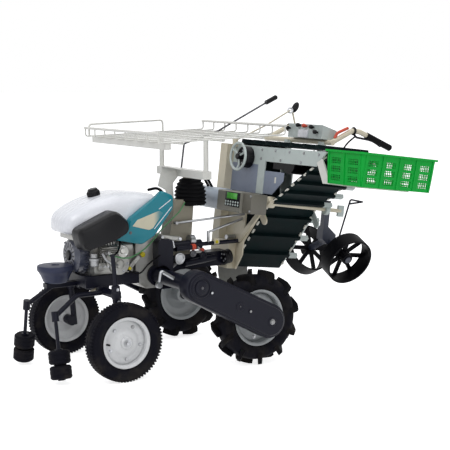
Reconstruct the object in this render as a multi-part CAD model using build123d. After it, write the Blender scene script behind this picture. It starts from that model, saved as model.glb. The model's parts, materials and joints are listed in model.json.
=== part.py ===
"""Walk-behind sweet potato transplanter, in millimetres.

The machine is laid out with +X forward, +Y to its left and +Z up, from the ground point midway under
the rear axle. The planting unit behind the engine leans back, so it is modelled upright in its own
frame and then tilted. The finished assembly is moved to the middle of its own footprint.
"""
import math
import os

from build123d import *

# Fits
RUN = 0.05            # radial play of a wheel or roller on its shaft
FIT = 0.3             # play of a slid-in or curved seat
SIDE_PLAY = 0.5       # end play of a hub between its collars
AIR = 8.0             # free room beside a turning piece

# Front wheels
FRONT_TYRE_R = 190.0
FRONT_TYRE_W = 86.0
FRONT_RIM_R = 121.0
FRONT_TRACK = 686.0
FRONT_AXLE_X = 718.0
FRONT_SHAFT_R = 11.0
FRONT_HUB_R = 30.0
FRONT_HUB_L = 70.0

# Rear wheels
REAR_TYRE_R = 240.0   # over the lugs
REAR_TYRE_W = 112.0
REAR_RIM_R = 141.0
REAR_TRACK = 764.0
REAR_SHAFT_R = 15.0
REAR_HUB_R = 42.0
REAR_HUB_L = 96.0
LUG_HEIGHT = 26.0
LUG_WIDTH = 24.0
LUG_SLANT = 38.0
LUG_LENGTH = 70.0
LUG_ROOT = 12.0       # depth of a lug inside the carcass
LUG_OFFSET = 26.0     # lug middle from the tyre's middle
LUG_PAIRS = 11
TREAD_SHARE = 0.76    # tread width over tyre width

# Rims and discs
RIM_WALL = 7.0
RIM_LIP = 9.0
RIM_LIP_T = 4.0
RIM_SHARE = 0.66      # rim width over tyre width
DISC_T = 6.0

# Front axle and legs
AXLE_BEAM = 50.0
AXLE_Z = 400.0
LEG_SIDE = 32.0
LEG_TOP = 646.0
SLEEVE_WALL = 10.0
SLEEVE_H = 90.0
COLLAR_T = 6.0

# Main frame
RAIL_GAUGE = 220.0
RAIL_W = 40.0
RAIL_H = 55.0
RAIL_FRONT = 800.0
CROSS_T = 12.0
NOSE_BAR_W = 44.0
NOSE_BAR_T = 20.0

# Front weight
WEIGHT_R = 88.0
WEIGHT_FOOT_R = 34.0
WEIGHT_H = 86.0
WEIGHT_RIM_H = 22.0
WEIGHT_BELLY_R = 68.0
WEIGHT_BELLY_H = 26.0
WEIGHT_X = 936.0

# Ridge guide rollers
GUIDE_X = 995.0
GUIDE_Y = 222.0
GUIDE_Z = 92.0
GUIDE_LEAN = 12.0
GUIDE_ROLLER_R = 52.0
GUIDE_ROLLER_H = 64.0
GUIDE_ROLLER_GAP = 8.0
GUIDE_NECK_R = 30.0
GUIDE_ROD_R = 9.0
GUIDE_ROD_RISE = 240.0
GUIDE_ARM_R = 12.0
GUIDE_ARM_Y = 150.0
GUIDE_ARM_BEND = 45.0

# Engine
ENGINE_REAR = 560.0
ENGINE_FRONT = 770.0
ENGINE_W = 280.0
ENGINE_H = 160.0
FIN_COUNT = 6
FIN_PITCH = 14.0
FIN_T = 5.0
FIN_W = 190.0
RECOIL_R = 88.0
RECOIL_T = 70.0
RECOIL_RISE = 94.0    # recoil centre above the rails
RECOIL_CHAMFER = 20.0
CARB_X = 700.0
CARB_RISE = 96.0      # carburettor above the rails
CARB_DROP = 44.0
CARB_L = 36.0
CARB_R = 20.0
COVER_X = 640.0
SIDE_COVER_R = 52.0
SIDE_COVER_T = 14.0
FILLER_R = 13.0
FILLER_L = 90.0
CLUTCH_R = 78.0
TANK_PAD_H = 16.0
TANK_PAD_L = 130.0
TANK_PAD_W = 200.0

# Hood
HOOD_HALF_W = 150.0
PANEL_T = 34.0
CAP_R = 31.0
CAP_H = 44.0
CAP_X = 716.0
CLEANER_T = 108.0
CLEANER_GAP = 4.0     # cleaner to the hood's flank
CAP_SEAT = 170.0      # foot of the cap's neck above the hood's base
CAP_NECK = 50.0
COWL_BAND = (150.0, 196.0)   # cowl's rear band above the hood's base
COWL_BAND_X = (352.0, 400.0)
# station along X, half width, underside and top above the base, corner radius
HOOD_SECTIONS = ((928.0, 52.0, 46.0, 90.0, 20.0),
                 (906.0, 92.0, 36.0, 140.0, 36.0),
                 (870.0, 122.0, 28.0, 178.0, 52.0),
                 (800.0, 142.0, 12.0, 206.0, 68.0),
                 (700.0, HOOD_HALF_W, 0.0, 224.0, 82.0),
                 (600.0, HOOD_HALF_W, 0.0, 228.0, 84.0),
                 (510.0, HOOD_HALF_W - 8, 24.0, 212.0, 72.0),
                 (420.0, HOOD_HALF_W - 20, 60.0, 200.0, 60.0))
# station along X and height above the base
COWL_OUTLINE = ((668.0, -2.0), (530.0, -34.0), (460.0, 4.0), (352.0, 136.0), (352.0, 200.0),
                (412.0, 226.0), (446.0, 196.0), (596.0, 96.0), (604.0, 46.0))
CLEANER_OUTLINE = ((925.0, 68.0), (905.0, 2.0), (868.0, -38.0), (700.0, 6.0), (636.0, 50.0),
                   (640.0, 92.0), (724.0, 150.0))
CLEANER_DUCT = ((860.0, 20.0), (860.0, 80.0), (720.0, 100.0), (720.0, 30.0))

# Transmission
TRANS_FRONT = 522.0
TRANS_REAR = 330.0
TRANS_W = 190.0
TRANS_TOP = 655.0
TRANS_BOTTOM = 385.0
TRANS_CUTS = (40.0, 50.0, 60.0)   # bevels at the top rear, bottom rear and bottom front
COVER_IN = 10.0       # belt cover from the case's rear and top
COVER_W = 58.0
COVER_L = 84.0
COVER_H = 250.0

# Wheel arms
PIVOT_X = 405.0
PIVOT_Z = 450.0
ARM_FRONT_R = 62.0
ARM_REAR_R = 50.0
ARM_T = 58.0
ARM_GAP = 24.0        # arm to tyre
ARM_LID_T = 8.0
ARM_LID_INSET = 12.0
TUBE_R = 38.0
TUBE_FLANGE_R = 54.0
TUBE_FLANGE_T = 14.0

# Lift cylinder
CYLINDER_R = 26.0
CYLINDER_L = 190.0
CYLINDER_ROD_R = 11.0
CYLINDER_DROP = 72.0

# Rear beam, column and rack
BEAM_W = 84.0
BEAM_H = 76.0
BEAM_RISE = 30.0      # beam above the rails' underside
COLUMN_W = 96.0
COLUMN_BACK = 90.0    # column's line behind the transmission
COLUMN_FOOT = (-60.0, 80.0)   # rear and front edges from the column's line
COLUMN_HEAD = (-40.0, 70.0)
COLUMN_TOP_Z = 815.0
COLUMN_LEAN = 44.0
NECK_X = 160.0
NECK_R = 30.0
BOOT_R = 72.0
BOOT_H = 88.0
BOOT_RIDGES = 4
BOOT_FOLD = 14.0      # depth of the folds
HOSE_R = 7.0
# route of a hose from the stand to the motor: station along X and height
HOSE_RUN = ((165.0, 950.0), (95.0, 950.0), (40.0, 912.0), (6.0, 852.0))
HOSE_BENDS = (76.0, 110.0)
HOSE_Y = (-60.0, -95.0)
STAND_Z = 930.0
STAND_BAR_W = 480.0
STAND_BAR_H = 40.0
STAND_BAR_T = 50.0
STAND_POST_R = 13.0
RACK_X = 190.0
RACK_Z = 1136.0
RACK_TILT = 4.0
RACK_L = 720.0
RACK_W = 800.0
RACK_RAIL_R = 7.0
RACK_CROSS_R = 5.5
RACK_WIRE_R = 4.0
RACK_WIRES = 8
RACK_CROSS_X = (-230.0, 0.0, 230.0)
RACK_BOX = 30.0       # side of the front box bar
RACK_BOX_IN = 36.0    # box bar behind the front fence
RACK_FENCE_H = 44.0
RACK_GUARD_H = 62.0
RACK_GUARDS = ((-340.0, -40.0), (20.0, 340.0))   # start and end of each guard rail along the tray

# Planting unit frame
UNIT_X = -60.0
UNIT_Z = 455.0
UNIT_TILT = 7.0
PLATE_T = 8.0
FRONT_FACE = -22.0    # front face of the conveyor's front plate
BELT_W = 310.0
BELT_GAP = 6.0        # belt edge to the side plates
BELT_T = 5.0
SLAT_H = 18.0
SLAT_W = 30.0
SLAT_PITCH = 104.0
SLAT_ROOT = 1.0       # slat foot sunk into the belt
SLAT_END_L = 42.0
SLAT_END_T = 3.0
LOOP_TOP = 648.0
LOOP_INNER = -100.0
LOOP_OUTER = 791.0
LOOP_BEND = (268.0, 285.0)
LOOP_FOOT = (4.0, -25.0)
INNER_R = 40.0
OUTER_R = 22.0
FOOT_R = 24.0
BEND_R = 60.0
ROLLER_SHAFT_R = 9.0
PLATE_DROP = 14.0     # plates' top below the belt's
PLATE_TOP = LOOP_TOP - PLATE_DROP
PLATE_BOTTOM = 560.0
PLATE_IN = 30.0       # plates' outer end from the belt's
PLATE_SLOPE = 80.0
PLATE_BACK = 6.0
REAR_LEG_V = 30.0
REAR_FOOT_IN = 40.0
REAR_FOOT_W = 10.0
MAST_FOOT = -20.0
LOWER_PANEL = (70.0, 120.0)   # left edge of the lower panel at its foot and above its slope
LOWER_SLOPE_W = 60.0
LOWER_TOP_W = 296.0
HITCH_TOP = 130.0
PANEL_IN = 12.0
MAST_LEFT = -54.0
MAST_RIGHT = -122.0
MAST_DEPTH = 44.0
PANEL_TOP_W = 540.0
PANEL_BOTTOM_W = 392.0
LEG_V = (190.0, 250.0)
STAY_W = 30.0
STAY_FOOT = (30.0, 44.0)
KNUCKLE_R = 20.0
GUIDE_BAR_R = 11.0
GUIDE_BAR_TURN = 42.0

# Gearbox and display
GEAR_W = 342.0        # height of the gearbox axis in the unit
GEAR_R = 57.0
GEAR_CHAMFER = 12.0
GEAR_RIGHT = -177.0
GEAR_LEFT = 90.0
DISPLAY_LEFT = 305.0
BOX_LEFT = 520.0
BOX_H = 100.0
BOX_D = 96.0
DISPLAY_H = 104.0
DISPLAY_OUT = 6.0
DISPLAY_ROUND = 8.0

# Handwheel and conveyor motor
HANDWHEEL_R = 70.0
HANDWHEEL_RIM = 7.0
HANDWHEEL_V = 92.0
HANDWHEEL_W = 572.0
HANDWHEEL_U = 44.0
HANDWHEEL_HUB_R = 16.0
HANDWHEEL_HUB_OUT = 10.0
HANDWHEEL_SPOKES = 3
DRUM_GAP = 24.0
DRUM_R = 56.0
MOTOR_R = 46.0
MOTOR_L = 150.0
MOTOR_V = 452.0
MOTOR_W = 556.0
MOTOR_CASE_D = 90.0
MOTOR_CASE_L = 138.0
MOTOR_CASE_H = 60.0

# Planting shoe
SHOE_R = 120.0
SHOE_T = 5.0
SHOE_L = 180.0
SHOE_IN = 20.0

# Crate
CRATE_L = 462.0
CRATE_W = 300.0
CRATE_H = 158.0
CRATE_WALL = 4.0
CRATE_TAPER = 5.0     # degrees
CRATE_LIP = 10.0
CRATE_CORNER = 24.0
CRATE_FRONT = 30.0
CRATE_GAP = 9.0       # belt's end to the crate's rim
CRATE_INNER = LOOP_OUTER + CRATE_GAP
CRATE_FLOOR_W = 490.0
CRATE_RIB = 4.0
CRATE_RIB_W = 9.0
CELL_H = 26.0
CELL_GAP = 14.0
CELL_ROWS = 3
CELL_SHARE = 0.56     # window width over the pitch of the columns
# wall span along the rim, number of window columns, turn about the crate's upright axis
CRATE_SIDES = ((CRATE_L, 4, 0), (CRATE_W, 2, 90))
SHELF_T = 6.0
SHELF_SHARE = 0.7     # shelf's size over the crate's
SHELF_BACK = 40.0
SHELF_LAP = 20.0
SHELF_ARM = 40.0

# Handlebar and controls
HANDLE_HALF = 300.0
HANDLE_R = 14.0
HANDLE_U = -392.0
HANDLE_RISE = 56.0    # cross tube above the plates' top
HANDLE_W = PLATE_TOP + HANDLE_RISE
HANDLE_BEND = 20.0
HANDLE_KNEE = (127.0, 74.0)   # behind and above the cross tube
HANDLE_CREST = (180.0, 74.0)
HANDLE_END = (225.0, 60.0)
HANDLE_BRACKETS = (-70.0, 240.0)
BRACKET_W = 30.0
BRACKET_RISE = 20.0
GRIP_R = 17.5
GRIP_L = 185.0
GRIP_CHAMFER = 6.0
PANEL_L = 305.0
PANEL_D = 96.0
PANEL_H = 74.0
LEVER_R = 5.0
LEVER_BEND = 16.0
LEVER_OUT = 40.0
KNOB_R = 11.0
# stations behind the cross tube and heights above the control panel
PANEL_LEVER_END = (80.0, 62.0)
PANEL_KNOB = ((60.0, 54.0), (110.0, 74.0))
# shift lever: stations behind the rack stand and heights above its middle
GEAR_LEVER_Y = -120.0
GEAR_LEVER_RUN = ((30.0, 0.0), (50.0, 140.0), (247.0, 195.0), (585.0, 354.0))
GEAR_KNOB = ((565.0, 345.0), (635.0, 376.0))

# Control rods: place on the column or cylinder, and on the mast's lower panel
ROD_R = 6.0
ROD_PIN_R = 8.0
LONG_ROD = (270.0, 700.0)
LONG_ROD_END = (108.0, 276.0)
SHORT_ROD = (92.0, 642.0)
SHORT_ROD_END = (92.0, 252.0)

# Press wheels
PRESS_R = 135.0
PRESS_W = 88.0
PRESS_WALL = 9.0
PRESS_CAMBER = 25.0   # dip of each axle's outer end
PRESS_TRACK = 370.0
PRESS_U = -662.0
PRESS_AXLE_W = 75.0
PRESS_HUB_R = 30.0
PRESS_HUB_L = 60.0
PRESS_SHAFT_R = 11.0
PRESS_STUB_R = 18.0
PRESS_SPOKES = 8
PRESS_SPOKE_W = 22.0
PRESS_SPOKE_T = 12.0
POST_U = -615.0
POST_V = 20.0
POST_SIDE = 34.0
POST_TOP = 375.0
CROWN = 28.0          # half height of the arm's head on the axle
ARM_RISE = 70.0
# adjuster: stations and heights from the middle of the press axle
ADJUSTER_RUN = ((-62.0, 0.0), (-118.0, 230.0), (-206.0, 222.0))
ADJUSTER_LOOP = (-113.0, 205.0)
ADJUSTER_BEND = 12.0

SIDES = (("left", 1), ("right", -1))
UNIT = Location((UNIT_X, 0, UNIT_Z), (0, -UNIT_TILT, 0))


def block(x, y, z):
    """Box from its two limits along each axis."""
    middle = [(low + high) / 2 for low, high in (x, y, z)]
    return Pos(*middle) * Box(x[1] - x[0], y[1] - y[0], z[1] - z[0])


def bar(start, end, radius):
    """Round bar between two points."""
    start, end = Vector(start), Vector(end)
    foot = (Align.CENTER, Align.CENTER, Align.MIN)
    return Plane(origin=start, z_dir=end - start) * Cylinder(radius, (end - start).length, align=foot)


def bent_tube(points, radius, bend):
    """Round tube along straight runs joined by tangent arcs."""
    path = FilletPolyline(*points, radius=bend)
    return sweep(Plane(origin=path @ 0, z_dir=path % 0) * Circle(radius), path)


def side_plate(outline, y_from, y_to):
    """Plate from an XZ outline, between two stations along Y."""
    face = Plane.XZ * make_face(Polyline(*outline, close=True))
    return Pos(0, y_to, 0) * extrude(face, y_to - y_from)


def face_plate(outline, u_from, u_to):
    """Plate from a YZ outline, between two stations along X."""
    face = Plane.YZ * make_face(Polyline(*outline, close=True))
    return Pos(u_from, 0, 0) * extrude(face, u_to - u_from)


def turned(profile):
    """Solid turned about the Y axis from (radius, station) points."""
    return revolve(make_face(Polyline(*profile, close=True)), Axis.Y)


def wheel_disc(rim_r, tyre_w, hub_r, hub_l, bore_r):
    """Steel wheel: rim band with lips, dished disc and bored hub, turned about Y."""
    half = tyre_w * RIM_SHARE / 2
    outer = rim_r - FIT
    lip = rim_r + RIM_LIP
    band = turned([(outer - RIM_WALL, -half - RIM_LIP_T), (lip, -half - RIM_LIP_T), (lip, -half),
                   (outer, -half), (outer, half), (lip, half), (lip, half + RIM_LIP_T),
                   (outer - RIM_WALL, half + RIM_LIP_T)])
    dish_r = (hub_r + rim_r) / 2
    dish = turned([(bore_r, DISC_T), (dish_r, DISC_T), (outer - RIM_WALL, -half / 2),
                   (outer - RIM_WALL, -half / 2 + DISC_T), (dish_r, 2 * DISC_T), (bore_r, 2 * DISC_T)])
    hub = turned([(bore_r, -hub_l / 2), (hub_r, -hub_l / 2), (hub_r, hub_l / 2), (bore_r, hub_l / 2)])
    return band + dish + hub


def tyre_body(radius, width, rim_r):
    """Tyre carcass turned about Y: straight beads, walls flared to the widest line, and a flat tread."""
    bead = width * RIM_SHARE / 2 - FIT
    widest = (rim_r + radius) / 2
    tread = width * TREAD_SHARE / 2
    right = [(rim_r, -bead), (rim_r + RIM_LIP + FIT, -bead), (widest, -width / 2), (radius, -tread)]
    left = [(r, -station) for r, station in reversed(right)]
    return turned(right + left)


def lugged_tyre():
    """Rear tyre with slanted lugs, each row set half a pitch from the other."""
    carcass_r = REAR_TYRE_R - LUG_HEIGHT
    tyre = tyre_body(carcass_r, REAR_TYRE_W, REAR_RIM_R)
    depth = LUG_HEIGHT + LUG_ROOT
    lug = Pos(REAR_TYRE_R - depth / 2, 0, 0) * Box(depth, LUG_LENGTH, LUG_WIDTH)
    lugs = []
    for index in range(LUG_PAIRS):
        for row, side in enumerate((1, -1)):
            turn = (index + row / 2) * 360 / LUG_PAIRS
            offset = side * LUG_OFFSET
            lugs.append(Rot(0, turn, 0) * Pos(0, offset, 0) * Rot(side * LUG_SLANT, 0, 0) * lug)
    tips = Rot(90, 0, 0) * Cylinder(REAR_TYRE_R, REAR_TYRE_W)
    return tyre + [lug & tips for lug in lugs]


def wheels():
    """Front and rear tyres and wheel discs."""
    nodes = {}
    front_tyre = tyre_body(FRONT_TYRE_R, FRONT_TYRE_W, FRONT_RIM_R)
    front_disc = wheel_disc(FRONT_RIM_R, FRONT_TYRE_W, FRONT_HUB_R, FRONT_HUB_L, FRONT_SHAFT_R + RUN)
    rear_tyre = lugged_tyre()
    rear_disc = wheel_disc(REAR_RIM_R, REAR_TYRE_W, REAR_HUB_R, REAR_HUB_L, REAR_SHAFT_R + RUN)
    for name, side in SIDES:
        turn = Rot(0, 0, 0 if side > 0 else 180)
        front = Pos(FRONT_AXLE_X, side * FRONT_TRACK / 2, FRONT_TYRE_R) * turn
        rear = Pos(0, side * REAR_TRACK / 2, REAR_TYRE_R) * turn
        nodes[f"front_tyre_{name}"] = front * front_tyre
        nodes[f"front_disc_{name}"] = front * front_disc
        nodes[f"rear_tyre_{name}"] = rear * rear_tyre
        nodes[f"rear_disc_{name}"] = rear * rear_disc
    return nodes


def front_axle():
    """Cross beam with a square sleeve at each end, and the legs that slide in the sleeves."""
    half_sleeve = LEG_SIDE / 2 + FIT + SLEEVE_WALL
    leg_y = FRONT_TRACK / 2 - FRONT_TYRE_W / 2 - AIR - half_sleeve
    beam_half = leg_y + half_sleeve
    low, high = AXLE_Z - AXLE_BEAM / 2, AXLE_Z + AXLE_BEAM / 2
    half_beam = AXLE_BEAM / 2
    beam = block((FRONT_AXLE_X - half_beam, FRONT_AXLE_X + half_beam), (-beam_half, beam_half), (low, high))
    legs = []
    for _, side in SIDES:
        centre = Pos(FRONT_AXLE_X, side * leg_y, AXLE_Z)
        beam += centre * Box(2 * half_sleeve, 2 * half_sleeve, SLEEVE_H)
        bore = LEG_SIDE + 2 * FIT
        beam -= centre * Box(bore, bore, SLEEVE_H)
        foot = FRONT_TYRE_R - LEG_SIDE
        leg = block((FRONT_AXLE_X - LEG_SIDE / 2, FRONT_AXLE_X + LEG_SIDE / 2),
                    (side * leg_y - LEG_SIDE / 2, side * leg_y + LEG_SIDE / 2), (foot, LEG_TOP))
        hub_in = FRONT_TRACK / 2 - FRONT_HUB_L / 2 - SIDE_PLAY
        hub_out = FRONT_TRACK / 2 + FRONT_HUB_L / 2 + SIDE_PLAY
        at = lambda y: (FRONT_AXLE_X, side * y, FRONT_TYRE_R)
        leg += bar(at(leg_y), at(hub_in), FRONT_HUB_R * 0.8)
        leg += bar(at(hub_in), at(hub_out), FRONT_SHAFT_R)
        leg += bar(at(hub_out), at(hub_out + COLLAR_T), FRONT_SHAFT_R * 1.6)
        legs.append(leg)
    return {"front_axle": beam, "front_legs": legs}


def rail_levels():
    """Bottom and top of the frame rails, which lie on the axle beam."""
    bottom = AXLE_Z + AXLE_BEAM / 2
    return bottom, bottom + RAIL_H


def main_frame():
    """Two rails with a front cross plate, a nose bar and two cross members."""
    low, high = rail_levels()
    frame = Part()
    for _, side in SIDES:
        middle = side * RAIL_GAUGE / 2
        frame += block((TRANS_FRONT, RAIL_FRONT), (middle - RAIL_W / 2, middle + RAIL_W / 2), (low, high))
    half = (RAIL_GAUGE + RAIL_W) / 2
    frame += block((RAIL_FRONT, RAIL_FRONT + CROSS_T), (-half, half), (low, high))
    for station in (FRONT_AXLE_X, ENGINE_REAR):
        frame += block((station - RAIL_W / 2, station + RAIL_W / 2), (-half, half), (low, low + CROSS_T))
    frame += block((RAIL_FRONT, WEIGHT_X + WEIGHT_FOOT_R), (-NOSE_BAR_W / 2, NOSE_BAR_W / 2),
                   (low, low + NOSE_BAR_T))
    return {"main_frame": frame}


def front_weight():
    """Round bowl-shaped weight standing on the nose bar."""
    foot = rail_levels()[0] + NOSE_BAR_T
    rim_foot = WEIGHT_H - WEIGHT_RIM_H
    profile = [(0, 0), (WEIGHT_FOOT_R, 0), (WEIGHT_BELLY_R, WEIGHT_BELLY_H), (WEIGHT_R, rim_foot),
               (WEIGHT_R, WEIGHT_H), (0, WEIGHT_H)]
    bowl = Rot(90, 0, 0) * turned(profile)
    return {"front_weight": Pos(WEIGHT_X, 0, foot) * bowl}


def guide_frame(side):
    """Frame of one guide roller set: Z up along its leaning rod."""
    return Location((GUIDE_X, side * GUIDE_Y, GUIDE_Z), (side * GUIDE_LEAN, 0, 0))


def ridge_guides():
    """Bent arms from the axle beam, each with a leaning rod that carries two stacked rollers."""
    nodes = {}
    arms = []
    stack = GUIDE_ROLLER_H + GUIDE_ROLLER_GAP / 2
    bore = GUIDE_ROD_R + RUN
    neck = GUIDE_ROLLER_GAP / 2
    profile = [(bore, -stack), (GUIDE_ROLLER_R, -stack), (GUIDE_ROLLER_R, -neck), (GUIDE_NECK_R, -neck),
               (GUIDE_NECK_R, neck), (GUIDE_ROLLER_R, neck), (GUIDE_ROLLER_R, stack), (bore, stack)]
    rollers = Rot(90, 0, 0) * turned(profile)
    for name, side in SIDES:
        frame = guide_frame(side)
        nodes[f"guide_rollers_{name}"] = frame * rollers
        ends = stack + SIDE_PLAY
        rod = bar((0, 0, -ends), (0, 0, GUIDE_ROD_RISE), GUIDE_ROD_R)
        for end, step in ((ends, 1), (-ends, -1)):
            rod += bar((0, 0, end), (0, 0, end + step * COLLAR_T), GUIDE_ROD_R * 2)
        clamp = (frame * Pos(0, 0, GUIDE_ROD_RISE - GUIDE_ARM_R)).position
        start = (FRONT_AXLE_X + AXLE_BEAM / 2, side * GUIDE_ARM_Y, AXLE_Z)
        knee = ((start[0] + GUIDE_X) / 2, side * GUIDE_ARM_Y, AXLE_Z)
        arm = bent_tube([start, knee, tuple(clamp)], GUIDE_ARM_R, GUIDE_ARM_BEND)
        boss = frame * Pos(0, 0, GUIDE_ROD_RISE - GUIDE_ARM_R) * Cylinder(GUIDE_ROD_R * 2, 4 * GUIDE_ARM_R)
        arms.append(arm + boss + frame * rod)
    nodes["guide_arms"] = arms
    return nodes


def engine():
    """Crankcase with clutch housing, finned cylinder and tank pad, and the recoil cover in front."""
    base = rail_levels()[1]
    top = base + ENGINE_H
    axis_z = base + RECOIL_RISE
    half = ENGINE_W / 2
    case = block((ENGINE_REAR, ENGINE_FRONT), (-half, half), (base, top))
    case = fillet(case.edges().filter_by(Axis.X), ENGINE_H * 0.16)
    case += bar((TRANS_FRONT, 0, axis_z), (ENGINE_REAR, 0, axis_z), CLUTCH_R)
    for index in range(FIN_COUNT):
        front = ENGINE_FRONT - 2 * FIN_PITCH - index * FIN_PITCH
        case += block((front - FIN_T, front), (0, half + FIN_PITCH), (axis_z - FIN_W / 4, top + FIN_T))
    case += block((ENGINE_FRONT - TANK_PAD_L, ENGINE_FRONT), (-TANK_PAD_W / 2, TANK_PAD_W / 2),
                  (top - TANK_PAD_H, top + TANK_PAD_H))
    recoil = Plane(origin=(ENGINE_FRONT, 0, axis_z), z_dir=(1, 0, 0)) * Cylinder(
        RECOIL_R, RECOIL_T, align=(Align.CENTER, Align.CENTER, Align.MIN))
    recoil = chamfer(recoil.edges().sort_by(Axis.X)[-1], RECOIL_CHAMFER)
    case += engine_fittings(base, half)
    return {"engine_block": case, "recoil_cover": recoil}


def engine_fittings(base, half):
    """Carburettor, inlet bowl, side cover and oil filler on the engine's left side."""
    carb = bar((CARB_X, half, base + CARB_RISE), (CARB_X, half + CARB_L, base + CARB_RISE), CARB_R)
    bowl = bar((CARB_X, half + CARB_L / 2, base + CARB_RISE - CARB_DROP),
               (CARB_X, half + CARB_L / 2, base + CARB_RISE), CARB_R * 0.8)
    cover = bar((COVER_X, half, base + SIDE_COVER_R), (COVER_X, half + SIDE_COVER_T, base + SIDE_COVER_R),
                SIDE_COVER_R)
    foot = (COVER_X - SIDE_COVER_R, half - FILLER_R, base + FILLER_R)
    neck = bar(foot, (foot[0] - FILLER_L * 0.5, half + FILLER_L * 0.4, base + FILLER_L), FILLER_R)
    return [carb, bowl, cover, neck]


def hood_base():
    """Height of the hood's underside, on the engine's tank pad."""
    return rail_levels()[1] + ENGINE_H + TANK_PAD_H


def hood_shape():
    """White hood and tank, lofted along X through rounded sections."""
    base = hood_base()
    faces = []
    for station, half, low, high, corner in HOOD_SECTIONS:
        plane = Plane(origin=(station, 0, base + (low + high) / 2), x_dir=(0, 1, 0), z_dir=(1, 0, 0))
        faces.append(plane * RectangleRounded(2 * half, high - low, corner))
    return loft(faces, ruled=True)


def above_base(outline):
    """Outline with heights taken from the hood's base."""
    return [(station, hood_base() + rise) for station, rise in outline]


def hood():
    """Hood top, flank panels, fuel cap and air cleaner cover."""
    base = hood_base()
    top = hood_shape()
    flank = HOOD_HALF_W
    cowl = block(COWL_BAND_X, (-flank - 1, flank + 1), [base + rise for rise in COWL_BAND])
    for _, side in SIDES:
        stations = sorted((side * flank, side * (flank + PANEL_T)))
        panel = side_plate(above_base(COWL_OUTLINE), *stations)
        outer = panel.faces().sort_by(Axis.Y)[-1 if side > 0 else 0]
        cowl += fillet(outer.edges(), PANEL_T * 0.35)
    cowl -= top
    foot = (Align.CENTER, Align.CENTER, Align.MIN)
    cap = Pos(CAP_X, 0, base + CAP_SEAT) * Cylinder(CAP_R, CAP_NECK + CAP_H, align=foot)
    cleaner = side_plate(above_base(CLEANER_OUTLINE), flank + CLEANER_GAP, flank + CLEANER_T)
    front = cleaner.faces().sort_by(Axis.Y)[-1]
    cleaner = fillet(front.edges(), CLEANER_T * 0.22)
    cleaner += side_plate(above_base(CLEANER_DUCT), flank - PANEL_T, flank + CLEANER_GAP)
    return {"hood_top": top, "hood_cowl": cowl, "fuel_cap": cap - top,
            "air_cleaner_cover": cleaner - top - cowl}


def drive():
    """Transmission case, belt cover, drive axle tubes and the wheel arms."""
    half = TRANS_W / 2
    low = rail_levels()[0]
    top_rear, low_rear, low_front = TRANS_CUTS
    outline = [(TRANS_FRONT, low), (TRANS_FRONT, TRANS_TOP), (TRANS_REAR + top_rear, TRANS_TOP),
               (TRANS_REAR, TRANS_TOP - top_rear), (TRANS_REAR, TRANS_BOTTOM + low_rear),
               (TRANS_REAR + low_rear, TRANS_BOTTOM), (TRANS_FRONT - low_front, TRANS_BOTTOM)]
    case = side_plate(outline, -half, half)
    cover_rear, cover_top = TRANS_REAR + COVER_IN, TRANS_TOP - 2 * COVER_IN
    cover = block((cover_rear, cover_rear + COVER_L), (half, half + COVER_W),
                  (cover_top - COVER_H, cover_top))
    cover = fillet(cover.edges().filter_by(Axis.Y), COVER_L * 0.3)
    arm_in = REAR_TRACK / 2 + REAR_TYRE_W / 2 + ARM_GAP
    pivot, axle = (PIVOT_X, PIVOT_Z), (0.0, REAR_TYRE_R)
    tube = bar((PIVOT_X, -arm_in, PIVOT_Z), (PIVOT_X, arm_in, PIVOT_Z), TUBE_R)
    case -= bar((PIVOT_X, -half, PIVOT_Z), (PIVOT_X, half, PIVOT_Z), TUBE_R + FIT)
    arms = []
    for _, side in SIDES:
        at = lambda y: (PIVOT_X, side * y, PIVOT_Z)
        tube += bar(at(arm_in - TUBE_FLANGE_T), at(arm_in), TUBE_FLANGE_R)
        tube += bar(at(half), at(half + TUBE_FLANGE_T), TUBE_FLANGE_R)
        arm = arm_case(side, arm_in, ARM_T, 0) + arm_case(side, arm_in + ARM_T, ARM_LID_T, ARM_LID_INSET)
        face = arm_in + ARM_T + ARM_LID_T
        for (x, z), cap in ((pivot, ARM_FRONT_R * 0.6), (axle, ARM_REAR_R * 0.5)):
            arm += bar((x, side * face, z), (x, side * (face + ARM_LID_T), z), cap)
        on_axle = lambda y: (axle[0], side * y, axle[1])
        hub_out = REAR_TRACK / 2 + REAR_HUB_L / 2 + SIDE_PLAY
        hub_in = REAR_TRACK / 2 - REAR_HUB_L / 2 - SIDE_PLAY
        arm += bar(on_axle(arm_in), on_axle(hub_out), REAR_SHAFT_R * 1.7)
        arm += bar(on_axle(hub_out), on_axle(hub_in), REAR_SHAFT_R)
        arm += bar(on_axle(hub_in), on_axle(hub_in - COLLAR_T), REAR_SHAFT_R * 1.7)
        arms.append(arm)
    cover -= bar((PIVOT_X, half, PIVOT_Z), (PIVOT_X, half + COVER_W, PIVOT_Z), TUBE_FLANGE_R + FIT)
    return {"transmission_case": case, "belt_cover": cover, "drive_axle": tube, "wheel_arms": arms}


def arm_case(side, start, thickness, inset):
    """Flat case between pivot and axle with round ends, from one station outwards."""
    ends = [Pos(PIVOT_X, PIVOT_Z) * Circle(ARM_FRONT_R - inset),
            Pos(0, REAR_TYRE_R) * Circle(ARM_REAR_R - inset)]
    face = Plane.XZ * make_hull(ends[0].edges() + ends[1].edges())
    stations = sorted((side * start, side * (start + thickness)))
    return Pos(0, stations[1], 0) * extrude(face, thickness)


def behind_unit(face):
    """Space behind a station of the planting unit, for cutting what ends there."""
    room = 2 * UNIT_Z
    return UNIT * block((face - room, face), (-room, room), (-room, room))


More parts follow.
